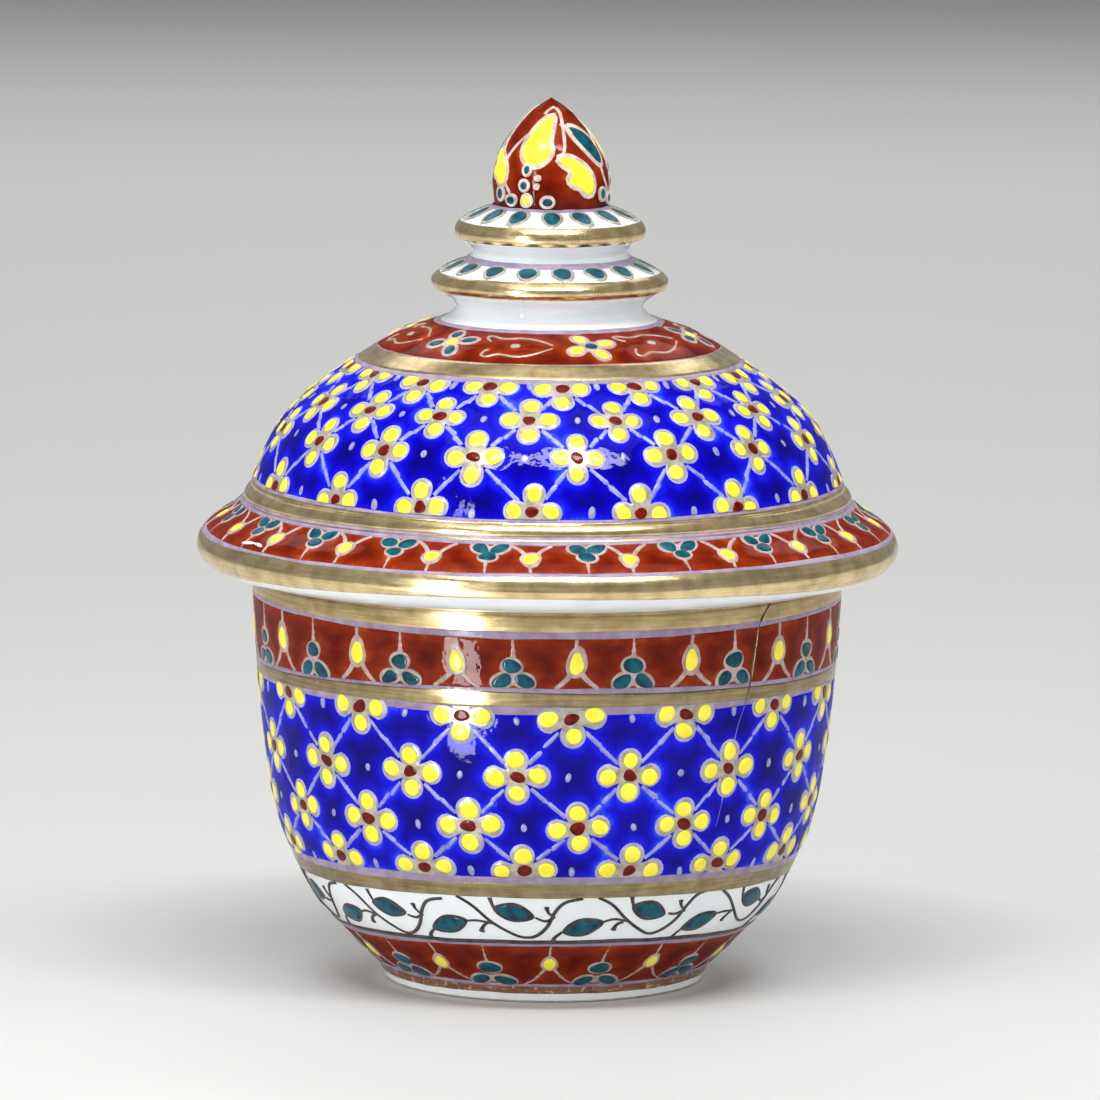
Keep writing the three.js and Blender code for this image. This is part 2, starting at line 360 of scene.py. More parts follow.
FOOT_HEIGHT, FOOT_TOP_RADIUS = reach("foot_ring")[1:]
RIM_HEIGHT, RIM_RADIUS = reach("bowl_body")[1:]
SEAT, CROWN, BRIM_RADIUS = reach("lid_dome")
COLLAR_FOOT, _, COLLAR_RADIUS = reach("lid_collar")
TIER_SEAM, LOWER_DISC = reach("finial_lower_tier")[1:]
BUD_SEAT, UPPER_DISC = reach("finial_upper_tier")[1:]
TENON_FOOT, TIP, BUD_RADIUS = reach("finial_bud")
print("rim", RIM_RADIUS, RIM_HEIGHT, "brim", BRIM_RADIUS, "tip", TIP)

# %% [markdown]
# An outline is a list of (radius, height) pairs in millimetres. A smooth stretch goes through a few
# chosen points, and a rounded edge is a quarter of an ellipse.

# %% Outline helpers
def smooth(points, steps):
    """A smooth line through the points, as (steps + 1) points evenly spread over it."""
    p = np.array(points, float)
    last = len(p) - 1
    out = []
    for place in np.linspace(0.0, last, steps + 1):
        i = min(int(place), last - 1)
        t = place - i
        before, a, b, after = p[max(i - 1, 0)], p[i], p[i + 1], p[min(i + 2, last)]
        va, vb = (b - before) / 2, (after - a) / 2
        out.append(a + va * t + (3 * (b - a) - 2 * va - vb) * t**2 + (2 * (a - b) + va + vb) * t**3)
    return [tuple(point) for point in out]


def placed(shares, start, end):
    """Places a table of shares, across and up, between two corners of an outline."""
    return [(start[0] + a * (end[0] - start[0]), start[1] + u * (end[1] - start[1])) for a, u in shares]


def rounded(start, end, upright=True, steps=8):
    """A quarter of an ellipse that leaves the first point upright or level."""
    turns = np.linspace(0.0, math.pi / 2, steps + 1)
    (x, y), (to_x, to_y) = start, end
    if upright:
        return [(to_x + (x - to_x) * math.cos(t), y + (to_y - y) * math.sin(t)) for t in turns]
    return [(x + (to_x - x) * math.sin(t), to_y + (y - to_y) * math.cos(t)) for t in turns]


def eased(start, corner, end):
    """A curve that leaves one point towards a corner and arrives at the other point from it."""
    a, b, c = (np.array(point) for point in (start, corner, end))
    return [tuple((1 - t) ** 2 * a + 2 * t * (1 - t) * b + t**2 * c) for t in np.linspace(0.08, 1.0, 12)]


def beside(line, thickness):
    """The line that runs beside another at a wall's thickness, on the left of its travel."""
    p = np.array(line)
    along = np.gradient(p, axis=0)
    along /= np.linalg.norm(along, axis=1)[:, None]
    return [tuple(q) for q in p + thickness * np.column_stack([-along[:, 1], along[:, 0]])]


print("outline helpers ready")

# %% [markdown]
# The bowl's side swells quickly out of the foot ring and rises almost upright to the rim.

# %% Outlines of the foot ring and the bowl
BOWL_WALL = 3.6
LIP_ROUND = 1.2
TOE_RADIUS, TOE_ROUND = 27.2, 0.9
FOOT_BORE, HEEL = 23.0, 0.6
BASE_RECESS, RECESS_STEP = 5.1, 0.8
FLOOR_THICKNESS, FLOOR_FLAT = 3.6, 19.0
wall_shares = [(0, 0), (0.07, 0.02), (0.22, 0.066), (0.485, 0.157), (0.68, 0.277), (0.815, 0.398),
               (0.909, 0.593), (0.965, 0.78), (1, 0.95)]

foot_outside = [*rounded((TOE_RADIUS - TOE_ROUND, 0.0), (TOE_RADIUS, TOE_ROUND), upright=False),
                (FOOT_TOP_RADIUS, FOOT_HEIGHT)]
foot_outline = [(FOOT_BORE + HEEL, 0.0), *foot_outside, (FOOT_BORE, FOOT_HEIGHT), (FOOT_BORE, HEEL)]

bowl_outside = smooth(placed(wall_shares, (FOOT_TOP_RADIUS, FOOT_HEIGHT), (RIM_RADIUS, RIM_HEIGHT)), 96)
mouth_radius = RIM_RADIUS - BOWL_WALL
lip = rounded((RIM_RADIUS, RIM_HEIGHT - LIP_ROUND), (RIM_RADIUS - LIP_ROUND, RIM_HEIGHT))
lip_inside = rounded((mouth_radius + LIP_ROUND, RIM_HEIGHT), (mouth_radius, RIM_HEIGHT - LIP_ROUND),
                     upright=False)
floor_level = BASE_RECESS + FLOOR_THICKNESS
inside = [p for p in reversed(beside(bowl_outside, BOWL_WALL))
          if floor_level + FLOOR_THICKNESS < p[1] < RIM_HEIGHT - LIP_ROUND - 0.5]
heel_corner = ((inside[-1][0] + FLOOR_FLAT) / 2 + FLOOR_THICKNESS / 2, floor_level)
heel_curve = eased(inside[-1], heel_corner, (FLOOR_FLAT, floor_level))
wall_outside = [p for p in bowl_outside if p[1] < RIM_HEIGHT - LIP_ROUND - 0.2]
bowl_outline = [(0.0, BASE_RECESS), (FOOT_BORE - RECESS_STEP, BASE_RECESS), (FOOT_BORE, FOOT_HEIGHT),
                *wall_outside, *lip, *lip_inside, *inside, *heel_curve, (0.0, floor_level)]
print("bowl outline:", len(bowl_outline), "points")

# %% [markdown]
# The lid's outline runs from the sole round the rolled brim, over the gilt bead, up the dome and
# on through the two tiers to the bud's tip.

# %% Outlines of the lid
LID_WALL = 3.8
SHOULDER_HEIGHT, SHOULDER_RADIUS = 14.5, 50.0
BRIM_WIDEST, SOLE_RADIUS = 4.2, 53.5
BEAD_HEIGHT, BEAD_PROUD, BEAD_GROOVE = 2.0, 0.7, 0.5
CROWN_RADIUS = 19.4
GILT_THICKNESS = 0.08
dome_shares = [(0, 0), (0.19, 0.073), (0.405, 0.218), (0.591, 0.364), (0.752, 0.509), (0.859, 0.655),
               (0.931, 0.8), (1, 1)]
brim_shares = [(0, 0), (0.23, 0.216), (0.654, 0.486), (0.923, 0.757), (1, 1)]

shoulder = (SHOULDER_RADIUS, SEAT + SHOULDER_HEIGHT)
brim_root = (SHOULDER_RADIUS + BEAD_PROUD + 2 * BEAD_GROOVE,
             SEAT + SHOULDER_HEIGHT - BEAD_HEIGHT - 2 * BEAD_GROOVE)
widest = (BRIM_RADIUS - GILT_THICKNESS, SEAT + BRIM_WIDEST)
brim_under = rounded(widest, (SOLE_RADIUS, SEAT), steps=14)
brim_top = smooth(placed(brim_shares, brim_root, widest), 36)
bead_foot = shoulder[1] - BEAD_GROOVE - BEAD_HEIGHT
bead = smooth([(SHOULDER_RADIUS, shoulder[1] - BEAD_GROOVE),
               (SHOULDER_RADIUS + BEAD_PROUD, bead_foot + 0.75 * BEAD_HEIGHT),
               (SHOULDER_RADIUS + BEAD_PROUD + BEAD_GROOVE, bead_foot + 0.25 * BEAD_HEIGHT),
               (SHOULDER_RADIUS + BEAD_PROUD, bead_foot)], 12)
dome_outside = smooth(placed(dome_shares, (CROWN_RADIUS, CROWN), shoulder), 96)
lid_side = [*reversed(brim_under), *list(reversed(brim_top))[1:], *reversed(bead), *reversed(dome_outside)]
print("lid side:", len(lid_side), "points")

# %% [markdown]
# Each tier is a coved neck under a disc with a rounded edge, and its top slopes up to the next
# member. The bud is one row of shares, from its widest ring to the tip.

# %% Outlines of the tiers and the bud
cove_shares = [(0, 0), (0.6, 0.34), (0.92, 0.7), (1, 1)]
under_shares = [(0, 0), (0.22, 0.27), (0.66, 0.53), (0.94, 0.79), (1, 1)]
top_shares = [(0, 0), (0.15, 0.35), (0.5, 0.7), (1, 1)]
bud_shares = [(1, 0), (0.965, 0.155), (0.9, 0.296), (0.8, 0.437), (0.66, 0.577), (0.49, 0.718),
              (0.3, 0.859), (0, 1)]
TIER_SEAM_RADIUS, BUD_SEAT_RADIUS, BUD_BASE, BUD_BELLY_RISE = 14.3, 9.9, 9.4, 4.2
CROWN_BORE, UPPER_BORE, TENON_RADIUS, TENON_CLEARANCE = 12.0, 9.0, 5.0, 0.3


def tier_side(foot, neck, disc, shoulder, top):
    """A tier's outside: a coved neck, the rounded edge of the disc and its sloping top."""
    points = [*placed(cove_shares, foot, neck), *placed(under_shares, neck, disc)[1:],
              *placed(top_shares, disc, shoulder)[1:]]
    return [*smooth(points, 60), top]


lower_side = tier_side((CROWN_RADIUS, CROWN), (15.9, CROWN + 2.9), (LOWER_DISC, CROWN + 7.0),
                       (18.5, CROWN + 8.7), (TIER_SEAM_RADIUS, TIER_SEAM))
upper_side = tier_side((TIER_SEAM_RADIUS, TIER_SEAM), (13.2, TIER_SEAM + 1.5),
                       (UPPER_DISC, TIER_SEAM + 4.9), (15.2, TIER_SEAM + 6.7),
                       (BUD_SEAT_RADIUS, BUD_SEAT))
bud_side = [(BUD_BASE, BUD_SEAT),
            *smooth(placed(bud_shares, (0.0, BUD_SEAT + BUD_BELLY_RISE), (BUD_RADIUS, TIP)), 60)]
print("tiers:", len(lower_side), len(upper_side), "bud:", len(bud_side))

# %% [markdown]
# Spinning is the potter's wheel of mesh modelling. A circle's points are moved onto the outline, the
# wire is spun once round the axis, doubled points are merged and the faces are turned outwards.

# %% Spin the porcelain
WIDE_STEPS, STEPS, SMALL_STEPS = 192, 160, 128
MERGE = 0.002 * MM


def pick(piece):
    """Selects one piece and nothing else."""
    bpy.ops.object.select_all(action="DESELECT")
    piece.select_set(True)
    bpy.context.view_layer.objects.active = piece


def opened(name, places, fill="NOTHING"):
    """A circle with its points moved to the places, open in edit mode and selected all over."""
    bpy.ops.mesh.primitive_circle_add(vertices=len(places), radius=MM, fill_type=fill)
    piece = bpy.context.object
    piece.name = piece.data.name = name
    for vertex, place in zip(piece.data.vertices, places):
        vertex.co = place
    pick(piece)
    bpy.ops.object.mode_set(mode="EDIT")
    bpy.ops.mesh.select_all(action="SELECT")
    return piece


def shut(piece):
    """Turns every face outwards and leaves edit mode."""
    bpy.ops.mesh.select_all(action="SELECT")
    bpy.ops.mesh.normals_make_consistent(inside=False)
    bpy.ops.object.mode_set(mode="OBJECT")
    return piece


def spun(name, outline, steps):
    """Spins a closed outline of (radius, height) once round the Z axis."""
    piece = opened(name, [(radius * MM, 0.0, height * MM) for radius, height in outline])
    bpy.ops.mesh.spin(steps=steps, angle=math.tau, center=(0, 0, 0), axis=(0, 0, 1))
    bpy.ops.mesh.select_all(action="SELECT")
    bpy.ops.mesh.remove_doubles(threshold=MERGE)
    bpy.ops.mesh.delete_loose()
    return shut(piece)


dict.fromkeys(("lavender_paste", "blue_tinged_paste", "halo_paste", "rose_paste", "pale_paste",
                            "taupe_paste"), "outline_enamel")
dict.fromkeys(("shaded_gilding", "dull_gilding", "worn_foot_gilding"), "gilding")
CREASE, DROP_CREASE = 40.0, 60.0


def complete(piece, material, body, angle=CREASE):
    """Gives a piece its finish, its smooth shading and its body."""
    piece.data.materials.clear()
    piece.data.materials.append(material)
    pick(piece)
    bpy.ops.object.shade_smooth_by_angle(angle=math.radians(angle))
    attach(piece, body)
    return piece


def porcelain(name, node, outline, body, steps=STEPS):
    """A glazed porcelain piece that stands for a packed one."""
    piece = complete(spun(name, outline, steps), white_glaze, body)
    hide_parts(node)
    return piece


LAND_EDGE = 0.55
foot_glazed = [p for p in foot_outline if p[1] > LAND_EDGE]
toe_cut = [p for p in foot_outside if p[1] <= LAND_EDGE][-1]
porcelain("foot_porcelain", "foot_ring", [(FOOT_BORE, toe_cut[1]), toe_cut, *foot_glazed[:-1]], "bowl")
complete(spun("foot_land", [(FOOT_BORE + HEEL - toe_cut[1], toe_cut[1]), (FOOT_BORE + HEEL, 0.0),
                            *[p for p in foot_outside if p[1] <= LAND_EDGE]], STEPS), biscuit, "bowl")
porcelain("bowl_porcelain", "bowl_body", bowl_outline, "bowl", WIDE_STEPS)

dome_within = [p for p in beside(dome_outside, -LID_WALL) if p[0] > CROWN_BORE + LID_WALL / 2]
seat_inside = (COLLAR_RADIUS - 3.0, SEAT)
flank_turn = (dome_within[-1][0], SEAT + 0.35 * SHOULDER_HEIGHT)
flank = eased(dome_within[-1], flank_turn, seat_inside)
lid_outline = [(CROWN_BORE, CROWN), (CROWN_BORE, CROWN - LID_WALL), *dome_within, *flank, *lid_side]
porcelain("lid_porcelain", "lid_dome", lid_outline, "lid", WIDE_STEPS)

COLLAR_EDGE, COLLAR_TAPER = 0.8, 0.5
collar_outline = [(seat_inside[0], COLLAR_FOOT + COLLAR_EDGE),
                  *rounded((seat_inside[0], COLLAR_FOOT + COLLAR_EDGE),
                           (seat_inside[0] + COLLAR_EDGE, COLLAR_FOOT))[1:],
                  *rounded((COLLAR_RADIUS - COLLAR_TAPER - COLLAR_EDGE, COLLAR_FOOT),
                           (COLLAR_RADIUS - COLLAR_TAPER, COLLAR_FOOT + COLLAR_EDGE), upright=False),
                  (COLLAR_RADIUS, SEAT), (seat_inside[0], SEAT)]
porcelain("collar_porcelain", "lid_collar", collar_outline, "lid")


def tier_outline(base, side, bore, top_bore, bore_rise, slope):
    """A tier's closed outline: its side, and a bore that narrows on a slope to the one above."""
    return [(bore, base), *side, (top_bore, side[-1][1]), (top_bore, base + bore_rise + slope),
            (bore, base + bore_rise)]


tenon_hole = TENON_RADIUS + TENON_CLEARANCE
porcelain("lower_tier_porcelain", "finial_lower_tier",
          tier_outline(CROWN, lower_side, CROWN_BORE, UPPER_BORE, 6.6, 2.0), "lid", SMALL_STEPS)
porcelain("upper_tier_porcelain", "finial_upper_tier",
          tier_outline(TIER_SEAM, upper_side, UPPER_BORE, tenon_hole, 4.8, 0.9), "lid", SMALL_STEPS)
bud = complete(spun("bud_red", [(0.0, TENON_FOOT), (TENON_RADIUS, TENON_FOOT),
                                (TENON_RADIUS, BUD_SEAT), *bud_side], SMALL_STEPS), iron_red, "lid")
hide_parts("finial_bud")

# %% [markdown]
# Everything painted is first thought of flat: so far round the pot, so far up its side, and so thick.
# A skin measures the pot's outside along its outline, and laying a piece on it bends the flat
# drawing round the pot, as a transfer goes on.

# %% Skins, and laying a piece on one
class Skin:
    """An outside outline with its arc length, radius, height and outward normal, in millimetres."""

    def __init__(self, outline, body):
        self.body = body
        p = np.array(outline, float)
        p = p[np.r_[True, np.linalg.norm(np.diff(p, axis=0), axis=1) > 0.01]]
        step = np.linalg.norm(np.diff(p, axis=0), axis=1)
        self.run = np.r_[0.0, np.cumsum(step)]
        fine = np.linspace(0.0, self.run[-1], 4 * len(p))
        self.radius, self.height = (np.interp(fine, self.run, p[:, k]) for k in (0, 1))
        self.run = fine
        along = np.column_stack([np.gradient(self.radius), np.gradient(self.height)])
        kernel = np.ones(9) / 9
        along = np.column_stack([np.convolve(np.pad(a, 4, "edge"), kernel, "valid") for a in along.T])
        along /= np.linalg.norm(along, axis=1)[:, None]
        self.out, self.up = along[:, 1], -along[:, 0]

    def at_height(self, height):
        """How far along the outline a height is."""
        return np.interp(height, self.height, self.run)

    def width(self, run):
        """The radius at a distance along the outline."""
        return np.interp(run, self.run, self.radius)

    def lay(self, turn, run, rise):
        """Turn in radians, run along the outline and rise off it, to places in metres."""
        out, up = np.interp(run, self.run, self.out), np.interp(run, self.run, self.up)
        radius = self.width(run) + rise * out
        height = np.interp(run, self.run, self.height) + rise * up
        return np.column_stack([radius * np.sin(turn), -radius * np.cos(turn), height]) * MM


bowl_skin = Skin([*foot_outside[:-1], *wall_outside, *lip], "bowl")
lid_skin = Skin([*lid_side, *lower_side[1:], *upper_side[1:], *bud_side[1:]], "lid")
print("skins:", round(bowl_skin.run[-1], 1), "and", round(lid_skin.run[-1], 1), "mm long")

# %% [markdown]
# A painter rests the brush on the turning pot, so a band's edge wanders slowly by a few tenths of a
# millimetre. Each edge is a height at the front and one at the sides, with a seeded waver.

# %% Painted edges
def edge(front, side=None, seed=0, waver=0.16):
    """The height of a painted edge all round the pot, as a function of the turn."""
    draw = random.Random(seed)
    side = front if side is None else side
    waves = [(k, draw.uniform(0.4, 1.0) * waver / math.sqrt(k), draw.uniform(0.0, math.tau))
             for k in (2, 3, 5, 8, 13, 21, 34)]

    def height(turn):
        drift = (side - front) * np.sin(turn) ** 2
        return front + drift + sum(a * np.sin(k * turn + p) for k, a, p in waves)

    return height


def write_places(piece, places):
    """Moves a piece's points to the given places, in metres."""
    piece.data.vertices.foreach_set("co", places.astype(np.float32).ravel())
    piece.data.update()


def read_places(piece):
    """The places of a piece's points, in metres."""
    places = np.zeros(3 * len(piece.data.vertices), np.float32)
    piece.data.vertices.foreach_get("co", places)
    return places.reshape(-1, 3).astype(float)


BLANK_RADIUS = 50.0
BLANK_HEIGHT = 10.0
SUNK = 0.12


def band(name, skin, low, high, thick, rows=6, steps=360, ease=0.25):
    """A closed ring of enamel between two painted edges: a blank ring is spun, then laid on the skin."""
    width = float(np.mean(skin.at_height(high(0.0)) - skin.at_height(low(0.0))))
    soft = min(ease / max(width, 0.01), 0.45)
    across = np.linspace(soft, 1.0 - soft, rows)
    top = [(0.0, 0.0), (0.3 * soft, 0.7 * thick), *[(t, thick) for t in across],
           (1.0 - 0.3 * soft, 0.7 * thick), (1.0, 0.0)]
    under = [(t, -SUNK) for t in np.linspace(1.0, 0.0, max(2, rows // 6))]
    section = [(BLANK_RADIUS + rise, t * BLANK_HEIGHT) for t, rise in [*top, *under]]
    piece = spun(name, section, steps)
    flat = read_places(piece) / MM
    turn = np.arctan2(flat[:, 0], -flat[:, 1])
    start, end = skin.at_height(low(turn)), skin.at_height(high(turn))
    run = start + flat[:, 2] / BLANK_HEIGHT * (end - start)
    write_places(piece, skin.lay(turn, run, np.hypot(flat[:, 0], flat[:, 1]) - BLANK_RADIUS))
    return piece


print("edges and bands ready")

# %% [markdown]
# These are the heights of the painted edges, front and side. Neighbouring fields share an edge.

# %% The painted edges of the bowl and the lid
b_foot = edge(1.6, 1.5, 1, 0.10)
b_tan = edge(3.15, 3.1, 2, 0.08)
b_red_low = edge(3.45, 3.4, 3, 0.08)
b_red_high = edge(11.2, 9.7, 4)
b_ink_low = edge(11.95, 10.35, 5)
b_vine_low = edge(12.65, 11.0, 5)
b_vine_high = edge(20.5, 19.4, 6)
b_gold3_high = edge(23.0, 22.1, 7)
b_blue_low = edge(24.3, 23.0, 8)
b_blue_high = edge(52.1, 52.3, 9)
b_gold2_low = edge(53.35, 53.0, 10)
b_gold2_high = edge(56.1, 54.9, 11)
b_rim_low = edge(56.75, 55.4, 12)
b_rim_high = edge(65.0, 65.6, 13)
b_gold1_low = edge(66.1, 66.05, 14)

l_gold_low = edge(73.0, 70.9, 21, 0.12)
l_gold_high = edge(76.6, 76.5, 22)
l_brim_low = edge(77.0, 76.9, 23)
l_brim_high = edge(80.95, 81.15, 24, 0.10)
l_bead_low = edge(81.40, 81.6, 25, 0.06)
l_bead_high = edge(84.3, 85.1, 26, 0.06)
l_blue_low = edge(84.85, 85.6, 27, 0.12)
l_blue_high = edge(105.2, 105.2, 28, 0.10)
l_gold_a_low = edge(105.7, 105.7, 29, 0.08)
l_gold_a_high = edge(107.9, 107.9, 30, 0.08)
l_floral_high = edge(112.0, 112.0, 31, 0.05)
print("painted edges ready")

# %% [markdown]
# Lavender paste goes on first, as flat bands between the fields, and gold is laid over the middle of
# most of them.

# %% Lavender bands and gilding
PASTE, GOLD_RISE = 0.15, 0.20
BAND_STEPS = 320


def lavender_band(name, skin, low, high, thick=PASTE, steps=BAND_STEPS, rows=5):
    """A flat band of lavender paste."""
    return complete(band(name, skin, low, high, thick, rows, steps), lavender, skin.body)


def gold_band(name, skin, low, high, thick=GOLD_RISE, rows=8, material=gold):
    """A gilt band, with a sharper edge than the paste's."""
    return complete(band(name, skin, low, high, thick, rows, BAND_STEPS, 0.2), material, skin.body)


paste = {
    "bowl": [
        lavender_band("rim_lavender", bowl_skin, b_rim_high, edge(66.35, 66.3, 14)),
        lavender_band("waist_lavender", bowl_skin, b_blue_high, b_rim_low),
        lavender_band("lower_lavender", bowl_skin, edge(22.0, 21.2, 41), b_blue_low),
        lavender_band("foot_lavender", bowl_skin, edge(2.9), b_red_low),
        lavender_band("vine_lavender", bowl_skin, b_red_high, edge(12.1, 10.5, 5), 0.12)],
    "lid": [
        lavender_band("brim_lavender", lid_skin, edge(76.35, 76.25, 22), l_brim_low),
        lavender_band("bead_lavender", lid_skin, l_brim_high, l_blue_low, rows=20),
        lavender_band("crown_lavender", lid_skin, l_blue_high, edge(106.2, None, 42, 0.05)),
        lavender_band("floral_lavender", lid_skin, edge(107.6, None, 43, 0.05),
                      edge(108.05, None, 44, 0.05))],
}
# The rim's gold takes the darkened gilding: painted shade under the brim.
gold_band("rim_gold", bowl_skin, b_gold1_low, edge(69.98, None, 0, 0.0), 0.10, material=shaded_gold)
gold_band("waist_gold", bowl_skin, b_gold2_low, b_gold2_high, material=dull_gold)
gold_band("lower_gold", bowl_skin, b_vine_high, b_gold3_high, material=dull_gold)
gold_band("foot_gold", bowl_skin, b_foot, b_tan, 0.06, 6, foot_gold)
gold_band("brim_gold", lid_skin, l_gold_low, l_gold_high, GILT_THICKNESS, 14)
gold_band("bead_gold", lid_skin, l_bead_low, l_bead_high, 0.24, 18)
gold_band("crown_gold", lid_skin, l_gold_a_low, l_gold_a_high)
gold_band("lower_tier_gold", lid_skin, edge(117.6, None, 51, 0.06), edge(120.6, None, 52, 0.06), 0.05, 12)
gold_band("upper_tier_gold", lid_skin, edge(126.2, None, 53, 0.06), edge(129.3, None, 54, 0.05), 0.05, 12)

# %% [markdown]
# Enamel drops are modelled once, flat, and copied. A filled circle is pulled onto a contour, then
# extruded up and drawn in ring by ring, which gives the dome that surface tension gives the real one.

# %% Model a drop
def contour(count, shape):
    """Points round a shape, given as a radius for each angle."""
    angles = np.linspace(0.0, math.tau, count, endpoint=False)
    return [(shape(a) * math.cos(a), shape(a) * math.sin(a)) for a in angles]


DOMED = ((0.97, 0.50), (0.86, 0.80), (0.64, 0.96), (0.34, 1.0))
FLAT = ((0.99, 0.60), (0.95, 0.92), (0.84, 1.0), (0.52, 1.0), (0.20, 1.0))


def drop(name, outline, height, rings=DOMED):
    """A closed drop on a flat contour, from rings of (share of the contour, share of the height).

    It starts a little below the surface it stands on."""
    blob = opened(name, [(x * MM, y * MM, -SUNK * MM) for x, y in outline], "NGON")
    level, size = -SUNK, 1.0
    for share, rise in rings:
        lift = (0.0, 0.0, (rise * height - level) * MM)
        bpy.ops.mesh.extrude_region_move(TRANSFORM_OT_translate={"value": lift})
        bpy.ops.transform.resize(value=(share / size, share / size, 1.0), center_override=(0, 0, 0))
        level, size = rise * height, share
    return shut(blob)


def oval(long, wide):
    """An ellipse, long along X."""
    return lambda a: 1.0 / math.sqrt((math.cos(a) / long) ** 2 + (math.sin(a) / wide) ** 2)


def pear(size, point):
    """Round at one end and drawn to a point at +Y."""
    return lambda a: size * (1.0 + point * max(0.0, math.sin(a)) ** 6 - 0.06 * math.cos(2 * a))


def leaf_shape(long, wide):
    """A pointed oval along X."""
    return lambda a: 1.0 / ((abs(math.cos(a)) / long) ** 1.5 + (abs(math.sin(a)) / wide) ** 1.5) ** (1 / 1.5)


def quatrefoil(arm, rise, lobe):
    """Four round lobes, their middles an arm's length to the sides and a rise up and down."""
    def shape(a):
        best = 0.74 * min(arm, rise)
        for k, long in enumerate((arm, rise, arm, rise)):
            across = a - k * math.pi / 2
            side = long * math.sin(across)
            if abs(side) < lobe and math.cos(across) > 0:
                best = max(best, long * math.cos(across) + math.sqrt(lobe**2 - side**2))
        return best
    return shape


petal_drop = drop("petal_drop", contour(16, oval(1.0, 1.0)), 0.30)
pear_drop = drop("pear_drop", contour(18, pear(1.0, 0.45)), 0.28)
leaf_drop = drop("leaf_drop", contour(20, leaf_shape(1.0, 1.0)), 0.26)
round_plate = drop("round_plate", contour(18, oval(1.0, 1.0)), 0.23, FLAT)
pear_plate = drop("pear_plate", contour(20, pear(1.0, 0.45)), 0.23, FLAT)
leaf_plate = drop("leaf_plate", contour(22, leaf_shape(1.0, 1.0)), 0.14, FLAT)
print("drops modelled")

# %% [markdown]
# A line of paste is a half-round strip. One straight strip is modelled by extruding its section, and
# each stroke is a copy of it bent along the painter's path, thinner where the brush lifts. All copies
# of one kind are joined into one piece, which is finished at once.

# %% Model a stroke
def strip(steps):
    """A straight strip of unit length along X, closed at its ends."""
    section = [(-0.5, -0.5), (-0.42, 0.45), (-0.18, 0.93), (0.18, 0.93), (0.42, 0.45), (0.5, -0.5)]
    line = opened(f"strip_{steps}", [(0.0, y, z) for y, z in section], "NGON")
    for _ in range(steps):
        bpy.ops.mesh.extrude_region_move(TRANSFORM_OT_translate={"value": (1.0 / steps, 0.0, 0.0)})
    return shut(line)


strips = {steps: strip(steps) for steps in (5, 12, 32)}


def faces_of(mesh):
    """The faces of a mesh as lists of point numbers."""
    return [list(polygon.vertices) for polygon in mesh.polygons]


def joined(name, parts, material, body):
    """One piece from many copies, each given as places in metres and the faces between them."""
    places, faces, count = [], [], 0
    for part_places, part_faces in parts:
        faces += [[v + count for v in face] for face in part_faces]
        places.append(part_places)
        count += len(part_places)
    mesh = bpy.data.meshes.new(name)
    mesh.from_pydata(np.vstack(places).tolist(), [], faces)
    mesh.update()
    piece = bpy.data.objects.new(name, mesh)
    bpy.context.scene.collection.objects.link(piece)
    return complete(piece, material, body, DROP_CREASE if material in (yellow, teal, heart_red) else CREASE)


def stamped(name, model, stamps, skin, material, seed=1, shake=0.05):
    """Copies a drop to each stamp: (turn, run, spin in degrees, size along, size across, lift, low, high).

    Low and high are runs that the copy may not pass, where a field's border cuts it."""
    draw = random.Random(seed)
    flat, faces = read_places(model) / MM, faces_of(model.data)
    angles = np.arctan2(flat[:, 1], flat[:, 0])
    parts = []
    for turn, run, spin, along, across, lift, low, high in stamps:
        rough = 1.0 + sum(draw.uniform(-shake, shake) * np.sin(k * angles + draw.uniform(0, math.tau))
                          for k in (1, 2, 3))
        x, y = flat[:, 0] * along * rough, flat[:, 1] * across * rough
        c, s = math.cos(math.radians(spin)), math.sin(math.radians(spin))
        x, y = c * x - s * y, s * x + c * y
        here = np.clip(run + y, low, high)
        parts.append((skin.lay(turn + x / skin.width(here), here, flat[:, 2] + lift), faces))
    return joined(name, parts, material, skin.body)


def stroked(name, strokes, skin, material, height, share_of_width=1.0):
    """Bends a strip along each stroke: (turn, run, points, width, steps, taper).

    A taper below zero leaves a bead at the stroke's end, where the brush lifts off. One above 1 narrows
    the stroke all along."""
    parts = []
    for turn, run, points, width, steps, taper in strokes:
        model = strips[steps]
        flat, faces = read_places(model), faces_of(model.data)
        path = np.array(smooth(points, 4 * steps))
        share = np.linspace(0.0, 1.0, len(path))
        along = np.gradient(path, axis=0)
        along /= np.linalg.norm(along, axis=1)[:, None]
        x, y, tx, ty = (np.interp(flat[:, 0], share, line) for line in (*path.T, *along.T))
        far = flat[:, 0]
        if taper < 0.0:
            ends = np.where(far < 0.99, 1.0 - taper * (far / 0.8) ** 4, 0.62)
        elif taper > 1.0:
            ends = 1.0 - (taper - 1.0) * far
        else:
            ends = 1.0 - taper * np.abs(2.0 * far - 1.0) ** 3
        side = flat[:, 1] * width * share_of_width * ends
        rise = np.where(flat[:, 2] > 0, flat[:, 2] * height * np.minimum(ends, 1.0), -SUNK)
        here = run + y + side * tx
        parts.append((skin.lay(turn + (x - side * ty) / skin.width(here), here, rise), faces))
    return joined(name, parts, material, skin.body)


print("strips:", sorted(strips))

# %% [markdown]
# The diaper is a net of four-petal flowers in staggered rows, joined by diagonal strokes that the
# painter draws from each flower to about half way. A small dot sits in the middle of each mesh, and
# the rows nearest a border are cut by it.

# %% The diaper
FAR = 1e6


